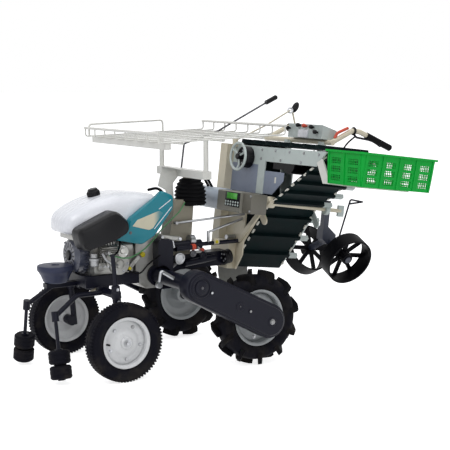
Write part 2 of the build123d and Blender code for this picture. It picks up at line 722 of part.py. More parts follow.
def middle():
    """Rear beam to the planting unit, handle column with its neck, rack stand and rack tray."""
    half = BEAM_W / 2
    beam_low = rail_levels()[0] + BEAM_RISE
    foot = beam_low + BEAM_H
    beam = block((UNIT_X - UNIT_Z, TRANS_REAR), (-half, half), (beam_low, foot))
    beam -= behind_unit(FRONT_FACE + MAST_DEPTH)
    foot_x = TRANS_REAR - COLUMN_BACK
    top_x = foot_x - COLUMN_LEAN
    outline = [(foot_x + COLUMN_FOOT[0], foot), (foot_x + COLUMN_FOOT[1], foot),
               (top_x + COLUMN_HEAD[1], COLUMN_TOP_Z), (top_x + COLUMN_HEAD[0], COLUMN_TOP_Z)]
    column = side_plate(outline, -COLUMN_W / 2, COLUMN_W / 2)
    column += bar((NECK_X, 0, COLUMN_TOP_Z), (NECK_X, 0, STAND_Z), NECK_R)
    foot_z = STAND_Z + STAND_BAR_H
    half_t, half_w = STAND_BAR_T / 2, STAND_BAR_W / 2
    stand = block((RACK_X - half_t, RACK_X + half_t), (-half_w, half_w), (STAND_Z, foot_z))
    rack_at = Location((RACK_X, 0, RACK_Z), (0, RACK_TILT, 0))
    seat = rack_at * bar((0, -RACK_W / 2, 0), (0, RACK_W / 2, 0), RACK_CROSS_R + FIT)
    posts = []
    for _, side in SIDES:
        place = side * (STAND_BAR_W / 2 - STAND_POST_R)
        posts.append(bar((RACK_X, place, foot_z), (RACK_X, place, RACK_Z), STAND_POST_R) - seat)
    return {"rear_beam": beam, "handle_column": column, "rack_stand": stand, "rack_posts": posts,
            "rack_tray": [rack_at * piece for piece in rack_tray()]}


def boot_hoses():
    """Ribbed boot round the column's neck, and two hoses from the stand to the planting motor."""
    bore = NECK_R + FIT
    fold = BOOT_H / BOOT_RIDGES
    profile = [(bore, 0)]
    for index in range(BOOT_RIDGES):
        profile += [(BOOT_R - BOOT_FOLD, index * fold), (BOOT_R, (index + 0.5) * fold)]
    profile += [(BOOT_R - BOOT_FOLD, BOOT_H), (bore, BOOT_H)]
    boot = Pos(NECK_X, 0, COLUMN_TOP_Z) * Rot(90, 0, 0) * turned(profile)
    hoses = []
    for place in HOSE_Y:
        route = [(station, place, height) for station, height in HOSE_RUN]
        hoses.append(bent_tube(route, HOSE_R, list(HOSE_BENDS)) - UNIT * motor_body())
    return {"boot_hoses": [boot, *hoses]}


def rack_tray():
    """Wire tray: cross rails, a box bar, long wires, a fence at each end and a guard on the far side."""
    half_l, half_w = RACK_L / 2, RACK_W / 2
    wire_z = RACK_CROSS_R + FIT + RACK_WIRE_R
    low, high = wire_z - RACK_WIRE_R, wire_z + RACK_FENCE_H
    tray = [bar((station, -half_w, 0), (station, half_w, 0), RACK_CROSS_R) for station in RACK_CROSS_X]
    tray.append(block((half_l - RACK_BOX_IN - RACK_BOX, half_l - RACK_BOX_IN), (-half_w, half_w),
                      (low - FIT - RACK_BOX, low - FIT)))
    places = [-half_w + index * RACK_W / (RACK_WIRES - 1) for index in range(RACK_WIRES)]
    reach = half_l - RACK_WIRE_R - FIT
    tray += [bar((-reach, place, wire_z), (reach, place, wire_z), RACK_WIRE_R) for place in places]
    for end in (-half_l, half_l):
        fence = bar((end, -half_w - RACK_RAIL_R, high), (end, half_w + RACK_RAIL_R, high), RACK_RAIL_R)
        tray.append(fence + [bar((end, place, low), (end, place, high), RACK_WIRE_R) for place in places])
    for start, end in RACK_GUARDS:
        rail_z = wire_z + RACK_GUARD_H
        tray.append(bar((start, -half_w, rail_z), (end, -half_w, rail_z), RACK_CROSS_R))
        for station in (start + RACK_RAIL_R, end - RACK_RAIL_R):
            foot, head = wire_z + RACK_WIRE_R + FIT, rail_z - RACK_CROSS_R - FIT
            tray.append(bar((station, -half_w, foot), (station, -half_w, head), RACK_WIRE_R))
    return tray


def loop_points():
    """Corners of the belt's outer line in the unit's YZ plane, with their rounding."""
    return (((LOOP_INNER, LOOP_TOP), INNER_R), ((LOOP_OUTER, LOOP_TOP), OUTER_R),
            (LOOP_BEND, BEND_R), (LOOP_FOOT, FOOT_R))


def belt_face():
    """Face inside the belt's outer line, with rounded corners."""
    corners = loop_points()
    face = make_face(Polyline(*[point for point, _ in corners], close=True))
    for point, radius in corners:
        near = face.vertices().sort_by_distance(Vector(*point))[0]
        face = fillet(near, radius)
    return face


def roller_centres():
    """Centre and outer radius of the roller inside each convex corner."""
    corners = loop_points()
    centres = []
    for index in (0, 1, 3):
        point, radius = corners[index]
        before = Vector(*corners[index - 1][0]) - Vector(*point)
        after = Vector(*corners[(index + 1) % len(corners)][0]) - Vector(*point)
        half_turn = math.radians(before.get_angle(after) / 2)
        inward = (before.normalized() + after.normalized()).normalized()
        centres.append((Vector(*point) + inward * (radius / math.sin(half_turn)), radius - BELT_T - FIT))
    return centres


def belt_stations():
    """Front and rear stations of the belt, and the inner faces of the plates beside it."""
    inner_front = FRONT_FACE - PLATE_T
    belt_front = inner_front - BELT_GAP
    belt_rear = belt_front - BELT_W
    return inner_front, belt_front, belt_rear, belt_rear - BELT_GAP


def conveyor():
    """Slatted belt, its rollers, the front plate, the rear frame and the guide bar."""
    inner_front, belt_front, belt_rear, inner_rear = belt_stations()
    face = belt_face()
    hollow = offset(face, -BELT_T)
    belt = Pos(belt_rear, 0, 0) * extrude(Plane.YZ * (face - hollow), BELT_W)
    slats, ends = [], []
    for plane, up, lower in slat_planes(face, belt_rear):
        slats.append(extrude(plane * hat(up, 0), BELT_W, dir=(1, 0, 0)))
        if lower:
            ends.append(extrude(plane * (hat(up, 0) - hat(up, SLAT_END_T)), SLAT_END_L, dir=(-1, 0, 0)))
    belt = belt + slats
    rollers = []
    for spot, radius in roller_centres():
        at = lambda u: (u, spot.X, spot.Y)
        roller = bar(at(belt_rear), at(belt_front), radius)
        rollers.append(roller + bar(at(inner_rear), at(inner_front), min(ROLLER_SHAFT_R, radius)))
    leg_from, leg_to = LEG_V
    outer, inner = LOOP_OUTER - PLATE_IN, LOOP_INNER + PLATE_BACK
    slope = outer - PLATE_SLOPE
    front_plate = face_plate([(inner, PLATE_TOP), (outer, PLATE_TOP), (slope, PLATE_BOTTOM),
                              (leg_to, PLATE_BOTTOM), (leg_to, PANEL_BOTTOM_W), (leg_from, PANEL_BOTTOM_W),
                              (leg_from, PANEL_TOP_W), (inner, PANEL_TOP_W)], inner_front, FRONT_FACE)
    rear_out = inner_rear - PLATE_T
    rear = face_plate([(inner, PLATE_TOP), (outer, PLATE_TOP), (slope, PLATE_BOTTOM),
                       (REAR_LEG_V, PLATE_BOTTOM), (REAR_LEG_V, REAR_FOOT_W),
                       (LOOP_INNER + REAR_FOOT_IN, REAR_FOOT_W)], rear_out, inner_rear)
    rear += stay(rear_out, inner_rear)
    for place in HANDLE_BRACKETS:
        rear += block((HANDLE_U, rear_out), (place - BRACKET_W / 2, place + BRACKET_W / 2),
                      (PLATE_BOTTOM + BRACKET_RISE, HANDLE_W))
    rear -= bar((HANDLE_U, -HANDLE_HALF, HANDLE_W), (HANDLE_U, HANDLE_HALF, HANDLE_W), HANDLE_R + FIT)
    guide = guide_bar_spot()
    bar_node = bar((inner_rear, guide.X, guide.Y), (inner_front, guide.X, guide.Y), GUIDE_BAR_R)
    return {"conveyor_belt": belt, "conveyor_rollers": rollers, "conveyor_front_plate": front_plate,
            "conveyor_rear_frame": rear, "belt_guide_bar": bar_node, "slat_ends": ends}


def slat_planes(face, station):
    """Plane at the foot of each slat, the sign of its outward Y, and whether it is on the open lower run."""
    line = face.wire()
    count = int(line.length // SLAT_PITCH)
    planes = []
    for index in range(count):
        share = (index + 0.5) / count
        spot, along = line @ share, line % share
        away = Vector(along.Y, -along.X)
        if face.is_inside(spot + away * BELT_T):
            away = away * -1
        plane = Plane(origin=(station, spot.X, spot.Y), x_dir=(0, along.X, along.Y), z_dir=(1, 0, 0))
        up = 1 if plane.y_dir.dot(Vector(0, away.X, away.Y)) > 0 else -1
        from_knuckle = (Vector(spot.X, spot.Y) - Vector(*LOOP_BEND)).length
        lower = away.X > 0 and spot.Y < PLATE_BOTTOM and from_knuckle > KNUCKLE_R + 2 * SLAT_W
        planes.append((plane, up, lower))
    return planes


def hat(up, wall):
    """Hat-shaped slat section, or the hollow inside its wall."""
    foot, head, top = SLAT_W / 2 - wall, SLAT_W / 3 - wall, SLAT_H - wall
    return make_face(Polyline((-foot, -up * SLAT_ROOT), (-head, up * top), (head, up * top),
                              (foot, -up * SLAT_ROOT), close=True))


def guide_bar_spot():
    """Place of the guide bar, outside the belt where it bends inwards."""
    turn = math.radians(GUIDE_BAR_TURN)
    away = Vector(math.sin(turn), -math.cos(turn))
    return Vector(*LOOP_BEND) + away * (SLAT_H + GUIDE_BAR_R + AIR)


def stay(u_from, u_to):
    """Stay along the belt's lower run, ending in a knuckle that reaches over the belt's edge."""
    bend, guide = Vector(*LOOP_BEND), guide_bar_spot()
    foot = Vector(*STAY_FOOT)
    inward = (bend - guide).normalized()
    head = bend + inward * STAY_W
    spots = [Pos(head.X, head.Y) * Circle(KNUCKLE_R), Pos(guide.X, guide.Y) * Circle(KNUCKLE_R)]
    knuckle = make_hull(spots[0].edges() + spots[1].edges())
    run = [Pos(foot.X, foot.Y) * Circle(STAY_W / 2), Pos(head.X, head.Y) * Circle(STAY_W / 2)]
    arm = make_hull(run[0].edges() + run[1].edges())
    return Pos(u_from, 0, 0) * extrude(Plane.YZ * (knuckle + arm), u_to - u_from)


def mast():
    """Beige mast: front column, lower panel and belt stay, with the instrument panel behind it."""
    inner_front = belt_stations()[0]
    face = FRONT_FACE + MAST_DEPTH
    column = block((FRONT_FACE, face), (MAST_RIGHT, MAST_LEFT), (MAST_FOOT, PLATE_TOP))
    foot_left, left = LOWER_PANEL
    lower = face_plate([(MAST_RIGHT, MAST_FOOT), (foot_left, MAST_FOOT), (left, LOWER_SLOPE_W),
                        (left, LOWER_TOP_W), (MAST_RIGHT, LOWER_TOP_W)], inner_front, FRONT_FACE)
    hitch = block((FRONT_FACE, face), (MAST_LEFT, -MAST_LEFT), (MAST_FOOT, HITCH_TOP))
    body = column + lower + hitch + stay(inner_front, FRONT_FACE)
    panel = face_plate([(MAST_RIGHT + PANEL_IN, PANEL_BOTTOM_W), (LEG_V[0], PANEL_BOTTOM_W),
                        (LEG_V[0], PANEL_TOP_W), (MAST_RIGHT + PANEL_IN, PANEL_TOP_W)],
                       inner_front, FRONT_FACE)
    return {"mast": body, "instrument_panel": panel}


def motor_body():
    """Round body of the planting motor, in the unit."""
    axis_u = FRONT_FACE + MAST_DEPTH + GEAR_R
    return bar((axis_u, GEAR_RIGHT, GEAR_W), (axis_u, GEAR_LEFT, GEAR_W), GEAR_R)


def gearbox():
    """Planting gearbox across the mast, with a motor end, a display box and a plain box."""
    face = FRONT_FACE + MAST_DEPTH
    axis_u = face + GEAR_R
    motor = motor_body()
    motor = chamfer(motor.edges().sort_by(Axis.Y)[0], GEAR_CHAMFER)
    motor += block((face, axis_u), (MAST_RIGHT, MAST_LEFT), (GEAR_W - GEAR_R * 0.8, GEAR_W + GEAR_R * 0.8))
    box = block((axis_u - BOX_D / 2, axis_u + BOX_D / 2), (DISPLAY_LEFT, BOX_LEFT),
                (GEAR_W - BOX_H / 2, GEAR_W + BOX_H / 2))
    display = block((axis_u - GEAR_R, axis_u + GEAR_R + DISPLAY_OUT), (GEAR_LEFT, DISPLAY_LEFT),
                    (GEAR_W - DISPLAY_H / 2, GEAR_W + DISPLAY_H / 2))
    display = fillet(display.edges().filter_by(Axis.Y), DISPLAY_ROUND)
    return {"planting_motor": motor, "display_box": display, "planting_gearbox": box}


def handwheel():
    """Spoked handwheel in front of its drum, on a shaft that stands on the front plate."""
    at = lambda u: (u, HANDWHEEL_V, HANDWHEEL_W)
    centre = Plane(origin=at(HANDWHEEL_U), z_dir=(1, 0, 0))
    rim = Circle(HANDWHEEL_R + HANDWHEEL_RIM) - Circle(HANDWHEEL_R - HANDWHEEL_RIM)
    spoke = Pos(HANDWHEEL_R / 2, 0) * Rectangle(HANDWHEEL_R, 2 * HANDWHEEL_RIM)
    turn = 360 / HANDWHEEL_SPOKES
    face = rim + [Rot(0, 0, 90 + index * turn) * spoke for index in range(HANDWHEEL_SPOKES)]
    wheel = centre * extrude(face, HANDWHEEL_RIM, both=True)
    wheel += bar(at(FRONT_FACE), at(HANDWHEEL_U + HANDWHEEL_HUB_OUT), HANDWHEEL_HUB_R)
    return {"handwheel": wheel + bar(at(FRONT_FACE), at(HANDWHEEL_U - DRUM_GAP), DRUM_R)}


def conveyor_motor():
    """Motor inside the belt loop, behind the front plate."""
    face = belt_stations()[0]
    body = bar((face, MOTOR_V, MOTOR_W), (face - MOTOR_L, MOTOR_V, MOTOR_W), MOTOR_R)
    case = block((face - MOTOR_CASE_D, face), (MOTOR_V - MOTOR_CASE_L, MOTOR_V),
                 (MOTOR_W - MOTOR_CASE_H / 2, MOTOR_W + MOTOR_CASE_H / 2))
    return {"conveyor_motor": body + case}


def planting_shoe():
    """Curved sheet guide under the belt's foot."""
    face = belt_stations()[0]
    middle = (MAST_RIGHT + SHOE_R + SHOE_IN, MAST_FOOT)
    ring = Pos(*middle) * (Circle(SHOE_R) - Circle(SHOE_R - SHOE_T))
    keep = Rectangle(SHOE_R + 2 * SHOE_IN, SHOE_R)
    ring &= Pos(middle[0] - SHOE_R / 2 + SHOE_IN, middle[1] - SHOE_R / 2) * keep
    return {"planting_shoe": Pos(face - SHOE_L, 0, 0) * extrude(Plane.YZ * ring, SHOE_L + PLATE_T)}


def crate_tub(inset, low, high):
    """Tapered block of the crate between two heights, inset from its outer wall."""
    faces = []
    for height in (low, high):
        shrink = 2 * (crate_drop() * (1 - height / CRATE_H) + inset + CRATE_LIP)
        face = RectangleRounded(CRATE_L - shrink, CRATE_W - shrink, CRATE_CORNER - CRATE_LIP / 2)
        faces.append(Pos(0, 0, height) * face)
    return loft(faces, ruled=True)


def crate_drop():
    """Inward lean of the crate's walls from rim to floor."""
    return CRATE_H * math.tan(math.radians(CRATE_TAPER))


def crate():
    """Ribbed plastic crate with tapered walls, a rim lip and rows of windows, and its shelf."""
    middle = Pos(CRATE_FRONT - CRATE_L / 2, CRATE_INNER + CRATE_W / 2, CRATE_FLOOR_W)
    reach = CRATE_L + CRATE_W
    ribs, cuts = [], []
    for span, columns, turn in CRATE_SIDES:
        pitch = (span - 2 * (CRATE_LIP + crate_drop())) / columns
        for edge in range(columns + 1):
            place = (edge - columns / 2) * (pitch - 2 * CRATE_RIB_W / columns)
            ribs.append(Rot(0, 0, turn) * Pos(place, 0, CRATE_H / 2) * Box(CRATE_RIB_W, reach, CRATE_H))
        for column in range(columns):
            for row in range(CELL_ROWS):
                height = CRATE_WALL + CELL_H + row * (CELL_H + CELL_GAP)
                place = (column - (columns - 1) / 2) * pitch
                cell = Box(pitch * CELL_SHARE, reach, CELL_H)
                cuts.append(Rot(0, 0, turn) * Pos(place, 0, height) * cell)
    shell = crate_tub(-CRATE_RIB, 0, CRATE_H - CRATE_LIP / 2)
    body = crate_tub(0, 0, CRATE_H) + [shell & rib for rib in ribs]
    rim = extrude(RectangleRounded(CRATE_L, CRATE_W, CRATE_CORNER), CRATE_LIP)
    body += Pos(0, 0, CRATE_H - CRATE_LIP) * rim
    body -= [crate_tub(CRATE_WALL, CRATE_WALL, CRATE_H), *cuts]
    return {"crate": middle * body, "crate_shelf": crate_shelf()}


def crate_shelf():
    """Shelf plate under the crate, on an arm from the front plate."""
    front = CRATE_FRONT - SHELF_BACK
    inner = CRATE_INNER + CRATE_LIP + crate_drop() - SHELF_LAP
    low = CRATE_FLOOR_W - SHELF_T
    plate = block((front - CRATE_L * SHELF_SHARE, front), (inner, inner + CRATE_W * SHELF_SHARE),
                  (low, CRATE_FLOOR_W))
    outer = LOOP_OUTER - PLATE_IN - SHELF_LAP
    arm = face_plate([(outer - SHELF_ARM, PLATE_BOTTOM + SHELF_LAP), (outer, PLATE_BOTTOM + SHELF_ARM),
                      (inner, CRATE_FLOOR_W + SHELF_LAP), (inner, low), (inner - SHELF_ARM, low)],
                     FRONT_FACE, FRONT_FACE + PLATE_T)
    foot = block((front - CRATE_L * SHELF_SHARE / 2, FRONT_FACE + PLATE_T), (inner - SHELF_ARM, inner),
                 (low, CRATE_FLOOR_W))
    return plate + arm + foot


def handle_place(side, spot):
    """Point of a handle tube, from its station behind and height above the cross tube."""
    return Vector(HANDLE_U - spot[0], side * HANDLE_HALF, HANDLE_W + spot[1])


def handles():
    """Handlebar with its cross tube, grips, control panel and lever."""
    half = HANDLE_HALF - HANDLE_R
    cross = bar((HANDLE_U, -half, HANDLE_W), (HANDLE_U, half, HANDLE_W), HANDLE_R)
    tubes, grips = [], []
    for _, side in SIDES:
        run = [handle_place(side, spot) for spot in ((0, 0), HANDLE_KNEE, HANDLE_CREST, HANDLE_END)]
        tube = bent_tube([tuple(point) for point in run], HANDLE_R, HANDLE_BEND)
        step = Vector(0, HANDLE_R, 0)
        tubes.append(tube + bar(run[0] - step, run[0] + step, HANDLE_R))
        axis = (run[3] - run[2]).normalized()
        grip = bar(run[3], run[3] + axis * GRIP_L, GRIP_R)
        grips.append(chamfer(grip.edges().sort_by(Axis.X)[0], GRIP_CHAMFER))
    panel_low = HANDLE_W + HANDLE_R
    panel_top = panel_low + PANEL_H
    front, rear = HANDLE_U + PANEL_D / 2, HANDLE_U - PANEL_D / 2
    right = HANDLE_HALF - 2 * HANDLE_R - PANEL_L
    panel = side_plate([(rear, panel_low), (front, panel_low), (front, panel_top),
                        (rear, panel_low + PANEL_H * 0.7)], right, right + PANEL_L)
    above = lambda spot: (HANDLE_U - spot[0], 0, panel_top + spot[1])
    foot, elbow = panel_low + PANEL_H * 0.5, panel_low + PANEL_H * 0.7
    lever = bent_tube([(front, 0, foot), (front + LEVER_OUT, 0, elbow), above(PANEL_LEVER_END)],
                      LEVER_R, LEVER_BEND)
    lever += bar(above(PANEL_KNOB[0]), above(PANEL_KNOB[1]), KNOB_R)
    return {"handle_cross_tube": cross, "handle_tubes": tubes, "grips": grips,
            "control_panel": panel, "panel_lever": lever - panel}


def press_frame(side):
    """Frame of one press wheel in the unit: Y along its axle, whose outer end dips."""
    return Location((PRESS_U, side * PRESS_TRACK / 2, PRESS_AXLE_W), (-side * PRESS_CAMBER, 0, 0))


def press_wheel():
    """Wide press wheel turned about Y: an open drum with hub and spokes at its inner side."""
    half = PRESS_W / 2
    bore = PRESS_SHAFT_R + RUN
    inner = PRESS_R - PRESS_WALL
    wheel = turned([(inner, -half), (PRESS_R, -half), (PRESS_R, half), (inner, half)])
    hub_end = PRESS_HUB_L - half
    hub = turned([(bore, -half), (PRESS_HUB_R, -half), (PRESS_HUB_R, hub_end), (bore, hub_end)])
    root, reach = PRESS_HUB_R - PRESS_WALL / 2, PRESS_R - PRESS_WALL / 2
    spoke = Box(reach - root, PRESS_SPOKE_T, PRESS_SPOKE_W)
    spoke = Pos((root + reach) / 2, PRESS_SPOKE_T / 2 - half, 0) * spoke
    turn = 360 / PRESS_SPOKES
    return wheel + hub + [Rot(0, index * turn, 0) * spoke for index in range(PRESS_SPOKES)]


def press_gear():
    """Press wheels on their drooping axle, the post and beam that carry them, and the adjuster rod."""
    nodes = {}
    wheel = press_wheel()
    half = POST_SIDE / 2
    droop = math.radians(PRESS_CAMBER)
    crown_w = PRESS_AXLE_W + PRESS_TRACK / 2 * math.tan(droop)
    beam_low = POST_TOP - POST_SIDE
    plate_rear = belt_stations()[3] - PLATE_T
    beam = block((POST_U - half, plate_rear), (POST_V - half, POST_V + half), (beam_low, POST_TOP))
    post = block((POST_U - half, POST_U + half), (POST_V - half, POST_V + half), (crown_w, beam_low))
    post += side_plate([(POST_U + half, crown_w), (POST_U + half, crown_w + ARM_RISE),
                        (POST_U - half, crown_w + ARM_RISE), (PRESS_U - CROWN, crown_w + CROWN),
                        (PRESS_U - CROWN, crown_w - CROWN), (PRESS_U + CROWN, crown_w - CROWN)],
                       -half, POST_V + half)
    hub_in = -PRESS_W / 2 - SIDE_PLAY
    hub_out = PRESS_HUB_L - PRESS_W / 2 + SIDE_PLAY
    for name, side in SIDES:
        frame = press_frame(side)
        nodes[f"press_wheel_{name}"] = frame * Rot(0, 0, 0 if side > 0 else 180) * wheel
        at = lambda y: (0, side * y, 0)
        stub = bar(at(-PRESS_TRACK / 2 / math.cos(droop)), at(hub_in), PRESS_STUB_R)
        stub += bar(at(hub_in), at(hub_out), PRESS_SHAFT_R)
        post += frame * (stub + bar(at(hub_out), at(hub_out + COLLAR_T), PRESS_STUB_R))
    from_crown = lambda spot: (PRESS_U + spot[0], POST_V, crown_w + spot[1])
    run = [from_crown(spot) for spot in ((-CROWN, 0.0), *ADJUSTER_RUN)]
    rod = bent_tube(run, LEVER_R, ADJUSTER_BEND) + bar(run[-1], from_crown(ADJUSTER_LOOP), LEVER_R)
    nodes.update({"press_beam": beam, "press_post": post, "adjuster_rod": rod})
    return nodes


def gear_lever():
    """Long shift lever from the rack stand, bent back over the belt."""
    foot = (RACK_X - STAND_BAR_T / 2, STAND_Z + STAND_BAR_H / 2)
    at = lambda spot: (foot[0] - spot[0], GEAR_LEVER_Y, foot[1] + spot[1])
    rod = bent_tube([at((0.0, 0.0)), *[at(spot) for spot in GEAR_LEVER_RUN]], LEVER_R, LEVER_BEND)
    return {"gear_lever": rod + bar(at(GEAR_KNOB[0]), at(GEAR_KNOB[1]), KNOB_R)}


def lift_linkage():
    """Lift cylinder between the transmission and the mast, and the two control rods above it."""
    y = COLUMN_W / 2 + AIR + CYLINDER_R
    z = TRANS_TOP - CYLINDER_DROP
    neck = TRANS_REAR - CYLINDER_L
    body = bar((TRANS_REAR, y, z), (neck, y, z), CYLINDER_R)
    behind = behind_unit(FRONT_FACE)
    rod = bar((neck, y, z), (UNIT_X - CYLINDER_L, y, z), CYLINDER_ROD_R)
    on_panel = lambda spot: (UNIT * Pos(FRONT_FACE - PLATE_T, *spot)).position
    side = COLUMN_W / 2
    pin_end = side + 4 * ROD_R
    long_foot = (LONG_ROD[0], pin_end - ROD_R, LONG_ROD[1])
    long_rod = bar(long_foot, on_panel(LONG_ROD_END), ROD_R) - behind
    long_rod += bar((LONG_ROD[0], side, LONG_ROD[1]), (LONG_ROD[0], pin_end, LONG_ROD[1]), ROD_PIN_R)
    short_foot = (SHORT_ROD[0], y, SHORT_ROD[1])
    short_rod = bar(short_foot, on_panel(SHORT_ROD_END), ROD_R) - behind
    short_rod += bar((SHORT_ROD[0], y, z), (SHORT_ROD[0], y, SHORT_ROD[1] + ROD_R), ROD_PIN_R)
    return {"lift_cylinder": body + (rod - behind), "control_rods": [long_rod, short_rod - rod]}


def assemble():
    """All nodes in the layout frame."""
    nodes = {}
    for group in (wheels, front_axle, main_frame, front_weight, ridge_guides, engine, hood, drive,
                  middle, boot_hoses, lift_linkage, gear_lever):
        nodes.update(group())
    for group in (conveyor, mast, gearbox, handwheel, conveyor_motor, planting_shoe, crate, handles,
                  press_gear):
        for name, shape in group().items():
            nodes[name] = [UNIT * piece for piece in shape] if isinstance(shape, list) else UNIT * shape
    pieces = {name: shape if isinstance(shape, list) else [shape] for name, shape in nodes.items()}
    return {name: [solid for piece in group for solid in piece.solids()] for name, group in pieces.items()}


def footprint_shift(nodes):
    """Move that puts the middle of the footprint on the origin."""
    boxes = [solid.bounding_box() for solids in nodes.values() for solid in solids]
    middle_x = (min(box.min.X for box in boxes) + max(box.max.X for box in boxes)) / 2
    middle_y = (min(box.min.Y for box in boxes) + max(box.max.Y for box in boxes)) / 2
    return Pos(-middle_x, -middle_y, -min(box.min.Z for box in boxes))


if __name__ == "__main__":
    parts = assemble()
    shift = footprint_shift(parts)
    os.makedirs("parts", exist_ok=True)
    for node, solids in parts.items():
        export_step(Compound([shift * solid for solid in solids]), f"parts/{node}.step")
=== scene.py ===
"""Looks of a walk-behind sweet potato transplanter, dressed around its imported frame.

Lengths are metres in the frame of the part: +X forward, +Y to the machine's left and +Z up. The planting
unit behind the engine leans back, so its pieces are laid out in the unit's own upright frame.
"""

import json
import logging
import math
from dataclasses import dataclass
from enum import Enum
from typing import Any, Callable, Optional, Sequence, Union

import bmesh
import bpy
from mathutils import Matrix, Vector


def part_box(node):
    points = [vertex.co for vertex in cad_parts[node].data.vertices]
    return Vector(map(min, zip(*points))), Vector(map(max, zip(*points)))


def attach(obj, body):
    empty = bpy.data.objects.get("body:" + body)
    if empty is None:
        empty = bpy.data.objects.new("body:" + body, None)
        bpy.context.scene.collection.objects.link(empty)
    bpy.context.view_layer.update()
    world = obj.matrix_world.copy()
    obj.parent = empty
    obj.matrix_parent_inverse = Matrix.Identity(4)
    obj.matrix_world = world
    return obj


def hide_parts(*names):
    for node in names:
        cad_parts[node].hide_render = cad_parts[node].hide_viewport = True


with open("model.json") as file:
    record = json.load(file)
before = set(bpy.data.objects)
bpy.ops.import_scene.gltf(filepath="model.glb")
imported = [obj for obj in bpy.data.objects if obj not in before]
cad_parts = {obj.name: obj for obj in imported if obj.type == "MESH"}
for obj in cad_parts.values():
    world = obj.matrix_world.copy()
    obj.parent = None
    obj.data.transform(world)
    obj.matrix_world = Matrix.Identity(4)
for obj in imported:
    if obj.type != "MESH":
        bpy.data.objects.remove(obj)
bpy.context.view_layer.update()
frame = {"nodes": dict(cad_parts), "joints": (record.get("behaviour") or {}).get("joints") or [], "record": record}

LOG = logging.getLogger("transplanter")
Point = Sequence[float]
Colour = tuple[float, float, float]
Pair = tuple[float, float]
Triple = tuple[float, float, float]
Outline = tuple[Pair, ...]
Route = tuple[Triple, ...]
# number, ring radius and size of bolts
Bolts = tuple[int, float, float]


def joint_place(name: str) -> Vector:
    """Place of a joint of the frame, by its name."""
    return Vector(next(joint["pos_m"] for joint in frame["joints"] if joint["name"] == name))


REAR_LEFT = joint_place("rear_wheel_left_spin")
REAR_RIGHT = joint_place("rear_wheel_right_spin")
# The ground point midway under the rear axle, from which the machine is laid out
ORIGIN = Vector(((REAR_LEFT.x + REAR_RIGHT.x) / 2, (REAR_LEFT.y + REAR_RIGHT.y) / 2, 0.0))
UNIT_PLACE = Vector((-0.060, 0.0, 0.455))
UNIT_TILT = math.radians(7.0)
UNIT = Matrix.Translation(ORIGIN + UNIT_PLACE) @ Matrix.Rotation(-UNIT_TILT, 4, "Y")
AHEAD = (1.0, 0.0, 0.0)
LEFT = (0.0, 1.0, 0.0)
UNIT_AHEAD = UNIT.to_3x3() @ Vector(AHEAD)
CHASSIS = "chassis"
SIDES = (("left", 1.0), ("right", -1.0))


def link(made: bpy.types.Object) -> None:
    """Put an object in the scene."""
    bpy.context.scene.collection.objects.link(made)


def srgb(red: int, green: int, blue: int) -> Colour:
    """Linear colour of a display colour.

    Args:
        red, green, blue: The display colour's channels, from 0 to 255.

    Returns:
        The three linear channels.
    """
    def linear(channel: int) -> float:
        """One channel without the display curve."""
        share = channel / 255
        return share / 12.92 if share <= 0.04045 else ((share + 0.055) / 1.055) ** 2.4
    return linear(red), linear(green), linear(blue)


class Signal:
    """A node socket with arithmetic, where each operation adds one Math node."""

    def __init__(self, kit: "NodeKit", socket: Optional[bpy.types.NodeSocket]) -> None:
        self.kit = kit
        self.socket = socket

    def _math(self, operation: str, first: "Value", second: "Value") -> "Signal":
        """Value of a two-sided Math node."""
        return self.kit.node("ShaderNodeMath", {"operation": operation}, {0: first, 1: second})

    def __add__(self, other: "Value") -> "Signal":
        """Sum."""
        return self._math("ADD", self, other)

    __radd__ = __add__

    def __sub__(self, other: "Value") -> "Signal":
        """Difference."""
        return self._math("SUBTRACT", self, other)

    def __rsub__(self, other: "Value") -> "Signal":
        """Difference from a number."""
        return self._math("SUBTRACT", other, self)

    def __mul__(self, other: "Value") -> "Signal":
        """Product."""
        return self._math("MULTIPLY", self, other)

    __rmul__ = __mul__

    def __truediv__(self, other: "Value") -> "Signal":
        """Quotient."""
        return self._math("DIVIDE", self, other)

    def __rtruediv__(self, other: "Value") -> "Signal":
        """Quotient of a number and this value."""
        return self._math("DIVIDE", other, self)

    def step(self, low: float, high: float) -> "Signal":
        """Smooth step of the value from 0 at low to 1 at high."""
        return self.kit.node("ShaderNodeMapRange", {"interpolation_type": "SMOOTHSTEP"},
                             {"Value": self, "From Min": low, "From Max": high})

    def largest(self, other: "Value") -> "Signal":
        """Larger of the two values."""
        return self._math("MAXIMUM", self, other)


Value = Union[Signal, float, Sequence[float], bpy.types.Material]


class NodeKit:
    """Node tree under construction."""

    def __init__(self, tree: bpy.types.NodeTree) -> None:
        """Keep the tree and empty it."""
        self.tree = tree
        self.tree.nodes.clear()

    def node(self, kind: str, settings: Optional[dict[str, Any]] = None,
             inputs: Optional[dict[Union[int, str], Value]] = None, output: Union[int, str] = 0) -> Signal:
        """Add a node.

        Args:
            kind: The node's type.
            settings: Properties, set before the sockets.
            inputs: Values or signals for its sockets, by name or number.
            output: The socket to return.

        Returns:
            The signal of the chosen output, which is empty for a node without outputs.
        """
        made = self.tree.nodes.new(kind)
        for key, value in (settings or {}).items():
            setattr(made, key, value)
        for key, value in (inputs or {}).items():
            self.feed(made.inputs[key], value)
        return Signal(self, made.outputs[output] if made.outputs else None)

    def feed(self, socket: bpy.types.NodeSocket, value: Value) -> None:
        """Link a signal to a socket, or set its value."""
        if isinstance(value, Signal):
            self.tree.links.new(value.socket, socket)
        elif socket.type == "RGBA" and len(value) == 3:
            socket.default_value = (*value, 1.0)
        else:
            socket.default_value = value


